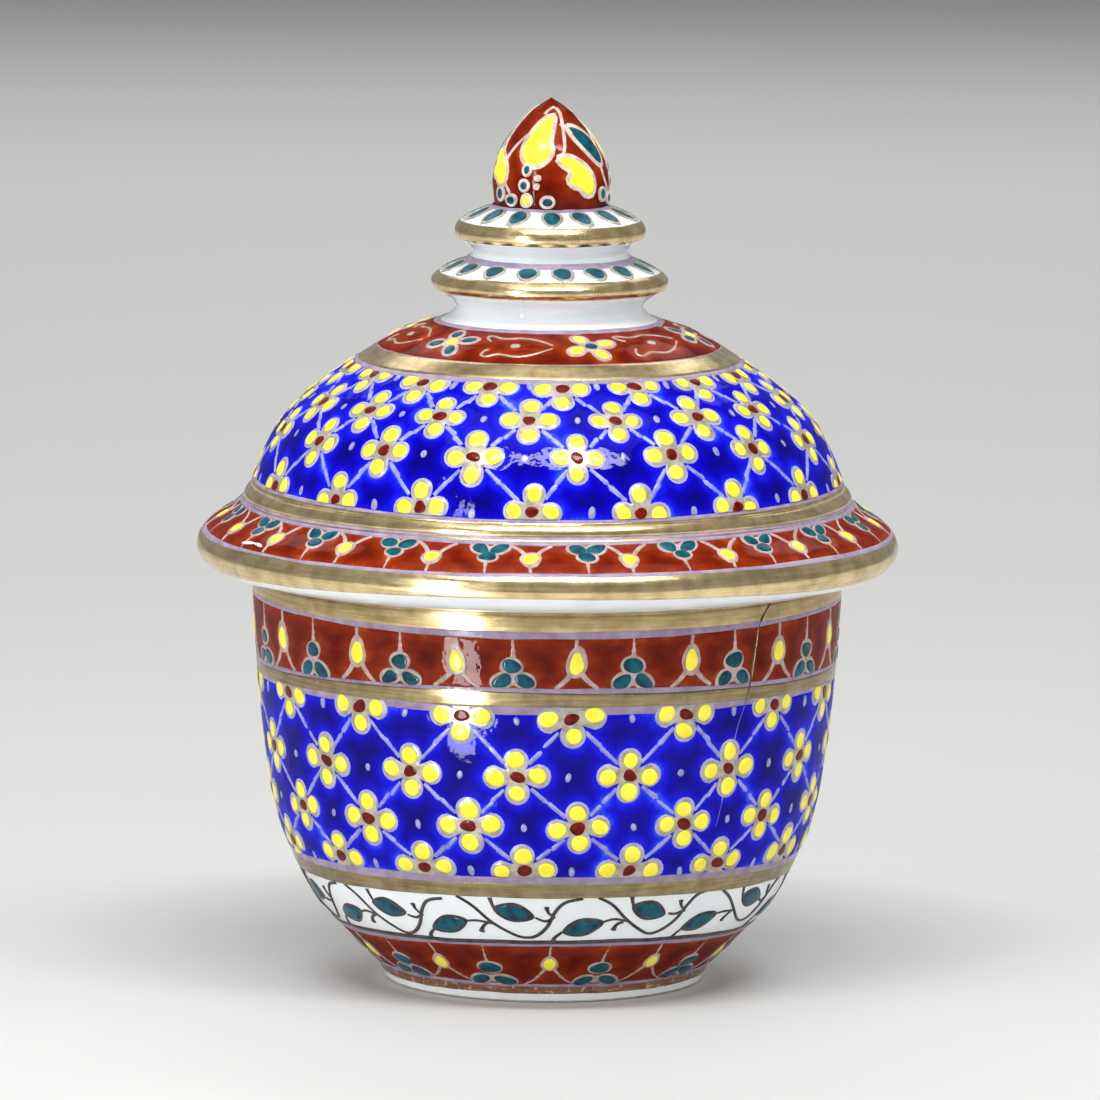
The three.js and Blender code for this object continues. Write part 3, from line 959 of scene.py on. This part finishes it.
def sown(rows, pitch, count, skin, draw):
    """Places the flowers of each row, with the small unevenness of work by hand."""
    return [[(math.radians(phase + draw.uniform(-0.7, 0.7)) + pitch * k,
              skin.at_height(height) + draw.uniform(-0.25, 0.25),
              draw.uniform(0.93, 1.06)) for k in range(count)] for height, phase in rows]


def links(flowers, pitch, reach_out, skin, draw):
    """Diagonal strokes between the flowers of neighbouring rows. Each side is drawn to about half way."""
    strokes = []
    for upper, lower in zip(flowers, flowers[1:]):
        for turn, run, size in upper:
            for other_turn, other_run, other_size in lower:
                apart = (other_turn - turn + math.pi) % math.tau - math.pi
                if abs(apart) > 0.75 * pitch:
                    continue
                gap = np.array([apart * skin.width((run + other_run) / 2), other_run - run])
                toward = gap / np.linalg.norm(gap)
                aside = np.array([-toward[1], toward[0]]) * draw.uniform(-0.28, 0.28)
                short = draw.choice((0.0, 0.0, 0.0, 0.0, 0.0, 0.07))
                for begin, half, off in ((toward * reach_out * size, gap * draw.uniform(0.48, 0.53), aside),
                                         (gap - toward * reach_out * other_size,
                                          gap * (draw.uniform(0.47, 0.50) + short), -0.7 * aside)):
                    strokes.append((turn, run, [begin, (begin + half) / 2 + 0.3 * off, half + off],
                                    draw.uniform(0.70, 0.92), 5, draw.uniform(-0.40, -0.05)))
    return strokes


def cut_of(skin, low, high, turn):
    """The runs between which a field lies at a turn."""
    return skin.at_height(low(turn)), skin.at_height(high(turn))


def diaper(prefix, skin, rows, count, low, high, cut_low, cut_high, petal, seed):
    """Lays a net of flowers. Rows are (height, phase in degrees), from the top down.

    A petal is (arm to the side, arm upwards, half width, half height)."""
    draw = random.Random(seed)
    pitch = math.tau / count
    arm, rise, half_wide, half_high = petal
    flowers = sown(rows, pitch, count, skin, draw)
    grounds, petals, hearts, dots = [], [], [], []
    for turn, run, size in (flower for row in flowers for flower in row):
        cut = cut_of(skin, cut_low, cut_high, turn)
        spin = draw.uniform(-5, 5)
        grounds.append((turn, run, spin, size, size, 0.0, *cut))
        hearts.append((turn + draw.uniform(-0.25, 0.25) / 50, run, draw.uniform(-30, 30),
                       0.36 * arm + draw.uniform(0.0, 0.30), draw.uniform(1.0, 1.25), 0.05, *cut))
        for k, long in enumerate((arm, rise, arm, rise)):
            aim = math.radians(90 * k + spin + draw.uniform(-5, 5))
            out = long * size * draw.uniform(0.95, 1.05)
            middle = run + out * math.sin(aim)
            if cut[0] - 0.3 < middle < cut[1] + 0.1:
                petals.append((turn + out * math.cos(aim) / skin.width(middle), middle,
                               draw.uniform(-40, 40), half_wide * size * draw.uniform(0.90, 1.14),
                               half_high * size * draw.uniform(0.92, 1.10), 0.06, *cut))
    for row, edge_of in [(flowers[0], high), (flowers[-1], low)]:
        for turn, run, size in row:
            between = turn + pitch / 2 + math.radians(draw.uniform(-1, 1))
            away = -1.0 if edge_of is high else 1.0
            spot = skin.at_height(edge_of(between)) + away * draw.uniform(0.5, 1.3)
            dots.append((between, spot, draw.uniform(-15, 15), draw.uniform(0.5, 0.62),
                         draw.uniform(0.75, 1.25), 0.0, *cut_of(skin, low, high, between)))
    for turn, run, size in (flower for row in flowers[1:-1] for flower in row):
        dots.append((turn + pitch / 2 + math.radians(draw.uniform(-1, 1)), run, draw.uniform(-20, 20),
                     draw.uniform(0.5, 0.65), draw.uniform(0.72, 0.95), 0.0, -FAR, FAR))
    cores = [(turn, run, spin, 0.52 * wide, 0.6 * tall, 0.05, *cut) for turn, run, spin, wide, tall, _, *cut
             in dots]
    strokes = links(flowers, pitch, 0.78 * (arm + rise) / 2 + 0.6, skin, draw)

    def plate(kind, margin, height):
        shape = quatrefoil(arm, rise, half_wide + margin)
        return drop(prefix + kind, contour(48, shape), height, FLAT)

    halo, gilt_plate = plate("_halo", 0.64, 0.19), plate("_gilt_plate", 0.36, 0.25)
    stamped(prefix + "_dots", round_plate, dots, skin, blue_paste, seed + 2)
    raised = [stamped(prefix + "_flower_halos", halo, grounds, skin, halo_paste, seed + 1, 0.01),
              stroked(prefix + "_lattice", strokes, skin, blue_paste, 0.24)]
    stamped(prefix + "_flower_gilt", gilt_plate, grounds, skin, taupe, seed + 1, 0.01)
    stroked(prefix + "_lattice_cores", strokes, skin, taupe, 0.28, 0.34)
    stamped(prefix + "_dot_cores", round_plate, cores, skin, taupe, seed + 2)
    stamped(prefix + "_petals", petal_drop, petals, skin, yellow, seed + 4)
    stamped(prefix + "_hearts", petal_drop, hearts, skin, heart_red, seed + 5, 0.09)
    for model in (halo, gilt_plate):
        bpy.data.objects.remove(model)
    return raised


bowl_rows = [(51.6, 5.6), (41.6, -5.4), (32.8, 6.8), (25.4, -4.2)]
dome_rows = [(104.6, 4.2), (99.9, -4.9), (94.4, 6.2), (85.9, -3.5)]
bowl_net = diaper("bowl", bowl_skin, bowl_rows, 16, b_blue_low, b_blue_high, b_blue_low, b_gold2_low,
                  (3.62, 2.78, 1.50, 1.46), 100)
dome_net = diaper("dome", lid_skin, dome_rows, 17, l_blue_low, l_blue_high, l_blue_low, l_blue_high,
                  (3.05, 3.15, 1.36, 1.34), 200)

# %% [markdown]
# A field of enamel flows up to the paste lines and pools between them. Its ring is laid like a band
# and then lifted by how far each point is from the nearest line, which a search tree finds quickly.
# The same distance is kept on the mesh as the pool value that the finish reads. The dots in the
# middles of the meshes go on after the blue, so it doesn't thin towards them.

# %% Pooled fields
def pooled(piece, lines, reach_out, lift, ease):
    """Writes the pool value of each point and lifts it off the pot accordingly."""
    spots = np.vstack([read_places(line) for line in lines])
    tree = KDTree(len(spots))
    for i, spot in enumerate(spots):
        tree.insert(spot, i)
    tree.balance()
    places = read_places(piece)
    away = np.array([tree.find(place)[2] for place in places]) / MM
    pool = np.clip(away / reach_out, 0.0, 1.0)
    attribute = piece.data.attributes.new("pool", "FLOAT", "POINT")
    attribute.data.foreach_set("value", pool.astype(np.float32))
    normals = np.zeros(3 * len(places), np.float32)
    piece.data.vertices.foreach_get("normal", normals)
    rise = lift * (1.0 - np.exp(-np.maximum(away - 0.15, 0.0) / ease))
    write_places(piece, places + normals.reshape(-1, 3) * rise[:, None] * MM)
    return piece


def field(name, skin, low, high, lines, material, rows, steps, reach_out, lift=0.15):
    """A field of enamel between two painted edges that pools between the lines."""
    ring = band(name, skin, low, high, 0.07, rows, steps, 0.15)
    return complete(pooled(ring, lines, reach_out, lift, 0.5), material, skin.body, DROP_CREASE)


field("bowl_cobalt", bowl_skin, b_blue_low, b_blue_high, bowl_net + paste["bowl"], cobalt, 76, 760, 2.7)
field("dome_cobalt", lid_skin, l_blue_low, l_blue_high, dome_net + paste["lid"], cobalt, 70, 760, 2.6)
print("cobalt fields pooled")

# %% [markdown]
# The three red borders share one motif, drawn large on the rim and small on the brim and foot. A
# yellow drop hangs on a stem and stands on two legs, and a sprig of three teal drops hangs between.

# %% Red borders
RED_LIFT = 0.09
SPRIG = ((0.0, 0.44, 1.74, 1.36), (-1.84, 0.16, 1.80, 1.22), (1.88, 0.16, 1.90, 1.20))


def border(prefix, skin, low, high, count, drop_phase, sprig_phase, size, drop_size, line, flip, seed, rows,
           steps):
    """Lays the drop and sprig border in a red field. With flip the motif hangs from the other edge."""
    draw = random.Random(seed)
    pitch = math.tau / count
    pears, rounds, yellows, teals, strokes = [], [], [], [], []

    def stand(turn):
        """Where the motif starts at a turn, how far it reaches, which way, and between which runs."""
        foot_run, head_run = cut_of(skin, low, high, turn)
        if flip:
            foot_run, head_run = head_run, foot_run
        tall = head_run - foot_run
        return foot_run, tall, math.copysign(1.0, tall), tuple(sorted((foot_run, head_run)))

    for k in range(count):
        turn = math.radians(drop_phase + draw.uniform(-1, 1)) + pitch * k
        foot_run, tall, sign, limits = stand(turn)
        middle = foot_run + tall * draw.uniform(0.46, 0.54)
        tilt = draw.uniform(-10, 10) + (180 if flip else 0)
        wide, high_up = (side * draw.uniform(0.92, 1.08) for side in drop_size)
        pears.append((turn, middle, tilt, wide + 0.62 * line, high_up + 0.62 * line, 0.0, *limits))
        yellows.append((turn, middle, tilt, wide, high_up, 0.07, *limits))
        up = foot_run + tall - middle
        strokes.append((turn, middle, [(0.0, sign * 1.3 * high_up), (draw.uniform(-0.15, 0.15), up * 0.75),
                                       (draw.uniform(-0.2, 0.2), up)], 0.72 * line, 5, 0.15))
        down = foot_run - middle
        for way in (-1, 1):
            leg = way * draw.uniform(3.3, 4.1) * size
            strokes.append((turn, middle, [(way * 0.55 * wide, -sign * 0.85 * high_up),
                                           (0.58 * leg, down * 0.72), (leg, down)], 1.15 * line, 5, 1.35))
        turn = math.radians(sprig_phase + draw.uniform(-1, 1)) + pitch * k
        foot_run, tall, sign, limits = stand(turn)
        for out, share, wide, high_up in SPRIG:
            run = foot_run + (tall * share if out == 0.0 else sign * 1.1 * size)
            away = turn + (out * size + draw.uniform(-0.15, 0.15)) / skin.width(run)
            lean = -sign * 14 * out + draw.uniform(-12, 12)
            grow = size * draw.uniform(0.92, 1.08)
            teals.append((away, run, lean, wide * grow, high_up * grow, 0.06, *limits))
            rounds.append((away, run, lean, wide * grow + 0.40 * line, high_up * grow + 0.42 * line, 0.0,
                           *limits))
        rounds.append((turn, foot_run + sign * 1.35 * size, 0.0, 1.5 * size, 1.0 * size, -0.03, *limits))
        strokes.append((turn, foot_run, [(0.0, tall * 0.44), (draw.uniform(-0.15, 0.15), tall * 0.70),
                                         (draw.uniform(-0.25, 0.25), tall)], 1.5 * line, 5, 1.62))
    lines = [stamped(prefix + "_drop_outlines", pear_plate, pears, skin, rose_paste, seed + 1, 0.04),
             stamped(prefix + "_sprig_outlines", round_plate, rounds, skin, rose_paste, seed + 2, 0.04),
             stroked(prefix + "_stems", strokes, skin, rose_paste, 0.24)]
    stamped(prefix + "_drops", pear_drop, yellows, skin, yellow, seed + 3, 0.07)
    stamped(prefix + "_sprigs", petal_drop, teals, skin, teal, seed + 4, 0.1)
    field(prefix + "_red", skin, low, high, lines + paste[skin.body], iron_red, rows, steps, 3.2, RED_LIFT)


border("rim", bowl_skin, b_rim_low, b_rim_high, 16, 5.6, -6.2, 1.0, (1.36, 1.52), 1.0, False,
       300, 22, 640)
border("brim", lid_skin, l_brim_low, l_brim_high, 21, -2.4, 6.1, 0.88, (1.50, 0.98), 0.85, True,
       400, 18, 640)
border("foot", bowl_skin, b_red_low, b_red_high, 11, 1.2, 16.8, 1.12, (1.25, 1.30), 0.62, False,
       500, 22, 480)

# %% [markdown]
# A vine runs round a plain white band. It swings from the lower line to the gilt band and back, with
# a leaf in each bay and small tendrils. The ink line below it closes the band.

# %% The vine
VINE_COUNT = 11
VINE_PHASE = -24.7
vine_wave = [(0.14, 1.0), (0.25, 0.82), (0.36, 0.50), (0.47, 0.25), (0.56, 0.12), (0.66, 0.17),
             (0.77, 0.40), (0.86, 0.72), (0.95, 0.93), (1.08, 1.0)]
vine_twigs = [
    ([(0.395, 1.0), (0.400, 0.90), (0.412, 0.77)], 0.90, 12, 1.4),
    ([(0.70, 0.58), (0.77, 0.53), (0.845, 0.62)], 0.55, 12, 0.2),
    ([(0.842, 0.60), (0.805, 0.71), (0.80, 0.84)], 0.55, 12, -0.6),
    ([(0.175, 0.455), (0.27, 0.50), (0.375, 0.44)], 0.50, 12, 0.2),
    ([(0.345, 0.46), (0.295, 0.37), (0.270, 0.23)], 0.60, 12, -0.6),
    ([(-0.16, 0.0), (-0.150, 0.09), (-0.105, 0.22)], 0.95, 12, 1.4),
]


def in_bay(points, long, tall, jog):
    """Turns shares of a bay into lengths, with a small shake away from its edges."""
    return [(x * long, (y + (jog[i % 4] if 0.1 < y < 0.9 else 0.0)) * tall)
            for i, (x, y) in enumerate(points)]


draw = random.Random(600)
vine_strokes, leaf_outlines, leaves = [], [], []
for k in range(VINE_COUNT):
    turn = math.radians(VINE_PHASE) + k * math.tau / VINE_COUNT
    shelf, roof = (bowl_skin.at_height(line(turn)) for line in (b_vine_low, b_vine_high))
    tall = roof - shelf
    long = math.tau / VINE_COUNT * bowl_skin.width((shelf + roof) / 2)
    jog = [draw.uniform(-0.02, 0.02) for _ in range(4)]
    vine_strokes += [(turn, shelf, in_bay(points, long, tall, jog), width, steps, taper)
                     for points, width, steps, taper in [(vine_wave, 0.66, 32, 0.12), *vine_twigs]]
    for x, y, tilt, length, width in ((0.55, 0.68, -13, 2.95, 1.56), (0.035, 0.35, 18, 3.05, 1.58)):
        run = shelf + (y + draw.uniform(-0.02, 0.02)) * tall
        spin = tilt + draw.uniform(-6, 6)
        away = turn + (x + draw.uniform(-0.015, 0.015)) * long / bowl_skin.width(run)
        leaf_outlines.append((away, run, spin, length + 0.68, width + 0.48, 0.0, shelf, roof))
        leaves.append((away, run, spin, length, width, 0.02, shelf, roof))
stroked("vine", vine_strokes, bowl_skin, ink, 0.20)
stamped("vine_leaf_outlines", leaf_plate, leaf_outlines, bowl_skin, ink, 601, 0.03)
stamped("vine_leaves", leaf_drop, leaves, bowl_skin, teal, 602, 0.03)
complete(band("vine_line", bowl_skin, b_ink_low, b_vine_low, 0.18, 5, BAND_STEPS), ink, "bowl")
print("vine laid:", len(vine_strokes), "strokes,", len(leaves), "leaves")

# %% [markdown]
# Round the crown a red field carries six small flowers with scrolls between them.

# %% The floral crown
draw = random.Random(700)
outlines, yellow_petals, teal_petals, scrolls, scroll_dots = [], [], [], [], []
FLORAL_HEIGHTS = (108.0, 112.0)
limits = [lid_skin.at_height(height) for height in FLORAL_HEIGHTS]
floral_mid = sum(limits) / 2
for k in range(6):
    turn = math.radians(18.0 + 60.0 * k + draw.uniform(-2, 2))
    ring, middle = (yellow_petals, teal_petals) if k % 2 == 0 else (teal_petals, yellow_petals)
    middle.append((turn, floral_mid, 0.0, 1.15, 1.05, 0.05, *limits))
    outlines.append((turn, floral_mid, 0.0, 1.95, 1.85, 0.0, *limits))
    for j in range(4):
        aim = math.radians(90 * j + 22 + draw.uniform(-8, 8))
        run = floral_mid + 2.75 * math.sin(aim)
        away = turn + 3.0 * math.cos(aim) / lid_skin.width(run)
        spin = math.degrees(aim)
        ring.append((away, run, spin, 1.45, 1.0, 0.04, *limits))
        outlines.append((away, run, spin, 2.05, 1.6, 0.0, *limits))
    turn += math.radians(30.0)
    for way in (-1, 1):
        scrolls.append((turn, floral_mid, [(-5.2, 1.3 * way), (-5.9, 2.0 * way), (-6.2, 3.0 * way),
                                           (-5.2, 3.4 * way), (-3.2, 2.6 * way), (0.0, 3.1 * way),
                                           (2.8, 2.3 * way), (5.6, 0.5 * way)], 0.62, 32, 0.25))
    scroll_dots.append((turn - 0.03, floral_mid, 0.0, 0.85, 0.7, 0.0, *limits))
floral_lines = [stamped("crown_flower_outlines", round_plate, outlines, lid_skin, rose_paste, 701, 0.04),
                stroked("crown_scrolls", scrolls, lid_skin, taupe, 0.22),
                stamped("crown_dots", round_plate, scroll_dots, lid_skin, taupe, 702)]
stamped("crown_yellow_petals", petal_drop, yellow_petals, lid_skin, yellow, 703)
stamped("crown_teal_petals", petal_drop, teal_petals, lid_skin, teal, 704)
field("crown_red", lid_skin, l_gold_a_high, l_floral_high, floral_lines, iron_red, 22, 420, 3.0, RED_LIFT)
print("floral crown laid")

# %% [markdown]
# The tops of the two tiers carry a ring of small teal petals that point outwards, and a lavender
# line hides each joint of the spire.

# %% The tiers
def tier_petals(prefix, low, high, count, phase, seed):
    """A ring of petals on a tier's sloping top, their points to the gilt edge."""
    draw = random.Random(seed)
    start, end = lid_skin.at_height(low), lid_skin.at_height(high)
    tall = end - start
    middle = start + 0.62 * tall
    limits = (start, end)
    petals, plates, strokes = [], [], []
    for k in range(count):
        turn = math.tau * (k + phase + draw.uniform(-0.06, 0.06)) / count
        spin = 180 + draw.uniform(-14, 14)
        width = 0.30 * math.tau * lid_skin.width(middle) / count
        petals.append((turn, middle, spin, width, 0.34 * tall, 0.04, *limits))
        plates.append((turn, middle, spin, width + 0.42, 0.34 * tall + 0.34, 0.0, *limits))
        strokes.append((turn, start, [(draw.uniform(-0.3, 0.3), 0.0), (0.0, 0.32 * tall)], 0.45, 5, 0.1))
    stamped(prefix + "_petal_outlines", pear_plate, plates, lid_skin, taupe, seed + 1, 0.04)
    stroked(prefix + "_petal_tips", strokes, lid_skin, taupe, 0.16)
    stamped(prefix + "_petals", pear_drop, petals, lid_skin, teal, seed + 2, 0.06)


tier_petals("lower_tier", 120.65, 122.5, 17, 0.33, 800)
tier_petals("upper_tier", 129.35, 131.5, 14, 0.03, 810)
for name, low, high, seed, wavers in (("crown", 111.9, 112.5, 61, (0.05, 0.06)),
                                      ("tier", 122.35, 123.2, 63, (0.04, 0.06)),
                                      ("bud", 131.45, 131.95, 65, (0.04, 0.08))):
    lavender_band(name + "_joint_lavender", lid_skin, edge(low, None, seed, wavers[0]),
                  edge(high, None, seed + 1, wavers[1]), 0.14, 240)

# %% [markdown]
# The bud is painted freehand: flames of yellow and a teal leaf or two, each ringed with paste, over
# red, with drops round its foot. Each flame is its own contour, listed point by point.

# %% The bud
flame_shape = [(1.4, 5.5), (1.8, 3.6), (1.9, 1.6), (2.1, -0.2), (2.6, -1.7), (1.9, -3.0), (0.8, -3.9),
               (-0.6, -4.1), (-1.7, -3.5), (-2.4, -2.3), (-2.3, -0.7), (-1.7, 0.9), (-0.9, 2.8), (0.3, 4.6)]
tongue_shape = [(-3.0, 3.2), (-1.4, 3.2), (0.4, 2.2), (2.0, 0.7), (2.9, -1.0), (2.5, -3.0), (1.2, -3.1),
                (0.1, -2.0), (-1.2, -1.7), (-1.9, -0.7), (-1.3, 0.4), (-1.9, 1.4), (-2.9, 2.1)]
leafy_shape = [(-1.8, 3.2), (-0.3, 2.7), (1.1, 1.1), (1.9, -1.0), (1.7, -2.9), (0.4, -2.4), (-0.9, -0.8),
               (-1.8, 1.2)]


def closed(points, count):
    """A smooth closed contour through chosen points."""
    ring = smooth([*points[-2:], *points, *points[:2]], 12 * (len(points) + 3))
    keep = ring[24:-12]
    picks = np.linspace(0, len(keep) - 1, count, endpoint=False).astype(int)
    return [keep[i] for i in picks]


def grown(points, margin):
    """The contour pushed out by a margin."""
    p = np.array(points)
    along = np.roll(p, -1, axis=0) - np.roll(p, 1, axis=0)
    along /= np.linalg.norm(along, axis=1)[:, None]
    middle = p.mean(axis=0)
    side = np.column_stack([along[:, 1], -along[:, 0]])
    side *= np.sign(((p - middle) * side).sum(axis=0).sum()) or 1.0
    return [tuple(q) for q in p + margin * side]


BUD_PAINT_HEIGHTS = (132.0, 149.0)
bud_limits = [lid_skin.at_height(height) for height in BUD_PAINT_HEIGHTS]
bud_plan = [
    ("flame", flame_shape, yellow, [(-18, 142.9, 1.0), (104, 142.4, 1.0), (-136, 142.7, 0.96)]),
    ("tongue", tongue_shape, yellow, [(30, 137.6, 1.0), (150, 137.7, 0.95), (-67, 138.6, 0.92)]),
    ("leaf", leafy_shape, teal, [(54, 142.4, 1.15), (178, 142.1, 1.1), (-102, 142.6, 1.0)]),
]
bud_marks = []
for name, shape, material, spots in bud_plan:
    ring = closed(shape, 30)
    ring = ring if np.cross(ring[0], ring[1]) > 0 else ring[::-1]
    stamps = [(math.radians(turn), lid_skin.at_height(height), 0.0, size, size, 0.0, *bud_limits)
              for turn, height, size in spots]
    backing = drop("bud_" + name + "_backing", grown(ring, 0.72), 0.14, FLAT)
    patch = drop("bud_" + name + "_patch", ring, 0.24, FLAT)
    bud_marks.append(stamped("bud_" + name + "_outlines", backing, stamps, lid_skin, pale_paste, 900, 0.02))
    stamped("bud_" + name + "s", patch, stamps, lid_skin, material, 900, 0.02)
    for model in (backing, patch):
        bpy.data.objects.remove(model)
bud_dots = [(-25, 138.5, "teal", 0.52, 0.78), (-27, 135.9, "teal", 0.68, 0.72),
            (-42, 133.3, "teal", 0.92, 0.72), (-3, 133.2, "teal", 0.95, 0.72),
            (62, 134.2, "teal", 0.80, 0.95), (-24, 133.4, "yellow", 0.78, 0.82),
            (-13, 137.2, "paste", 0.55, 0.5), (-14, 135.8, "paste", 0.50, 0.5)]
bud_lines = [
    (-7, [(-0.7, 147.4), (0.6, 148.5), (1.9, 147.6), (2.7, 145.2), (3.3, 142.4), (3.0, 141.0), (1.9, 139.9)]),
    (-46, [(1.4, 144.6), (-0.3, 142.3), (-1.6, 139.6), (-1.2, 136.8), (0.3, 134.4)]),
    (32, [(-1.3, 145.9), (0.2, 144.6), (1.4, 143.0), (2.6, 141.5)]),
]
spots, strokes = [], []
for third in range(3):
    turned = 120.0 * third
    for turn, height, kind, wide, tall in bud_dots:
        spots.append((math.radians(turn + turned), lid_skin.at_height(height), kind, wide, tall))
    for turn, points in bud_lines:
        base = lid_skin.at_height(points[0][1])
        path = [(x, lid_skin.at_height(z) - base) for x, z in points]
        strokes.append((math.radians(turn + turned), base, path, 0.66, 12, 0.2))
stamped("bud_dot_outlines", round_plate,
        [(turn, run, 0, wide + (0.1 if kind == "paste" else 0.46), tall + (0.1 if kind == "paste" else 0.44),
          0.0, *bud_limits) for turn, run, kind, wide, tall in spots], lid_skin, pale_paste, 910)
stroked("bud_lines", strokes, lid_skin, pale_paste, 0.2)
for dots_kind, material in (("teal", teal), ("yellow", yellow)):
    stamped("bud_" + dots_kind + "_dots", petal_drop,
            [(turn, run, 0, wide, tall, 0.03, *bud_limits) for turn, run, kind, wide, tall in spots
             if kind == dots_kind], lid_skin, material, 911)
pooled(bud, bud_marks, 3.6, 0.0, 1.0)
print("bud painted")

# %% [markdown]
# One fine crack runs down the right of the bowl from the rim. Grime and a little gold have settled in
# it where it crosses the red border, and below it is a pale hairline. On the left of the brim the red
# has run short and the white glaze shows.

# %% The crack and the bare spot
crack_places = [(48.2, 69.0), (46.3, 67.2), (44.8, 65.2), (44.0, 59.7), (43.5, 55.7), (42.5, 52.2),
                (41.0, 48.7), (39.8, 42.8), (39.0, 36.8), (38.2, 31.9)]
CRACK_TURN = 43.0
crack_turn = math.radians(CRACK_TURN)
base = bowl_skin.at_height(crack_places[0][1])
crack_path = [(math.radians(turn - CRACK_TURN) * RIM_RADIUS, bowl_skin.at_height(height) - base)
              for turn, height in crack_places]
stroked("crack_stain", [(crack_turn, base, crack_path[2:6], 0.40, 32, 0.6),
                        (crack_turn, base, crack_path[:3], 0.12, 12, 0.3)], bowl_skin, ink, 0.30)
stroked("crack_gold", [(crack_turn, base, [(x + 0.12, y) for x, y in crack_path[2:5]], 0.20, 32, 0.5)],
        bowl_skin, gold, 0.34)
stroked("crack_hairline", [(crack_turn, base, crack_path[5:], 0.14, 32, 0.3)], bowl_skin, blue_paste, 0.32)
spots = [(math.radians(-60.5), 77.55, 8, 2.3, 0.30), (math.radians(-57.2), 77.6, -4, 1.3, 0.34)]
stamped("bare_spot", round_plate, [(turn, lid_skin.at_height(height), spin, wide, tall, 0.0, -FAR, FAR)
                                   for turn, height, spin, wide, tall in spots], lid_skin, white_glaze, 920,
        0.15)
print("wear laid")

# %% [markdown]
# The models of the drops and strips aren't part of the pot, so they go.

# %% Clear up and finish
for model in (petal_drop, pear_drop, leaf_drop, round_plate, pear_plate, leaf_plate, *strips.values()):
    bpy.data.objects.remove(model)
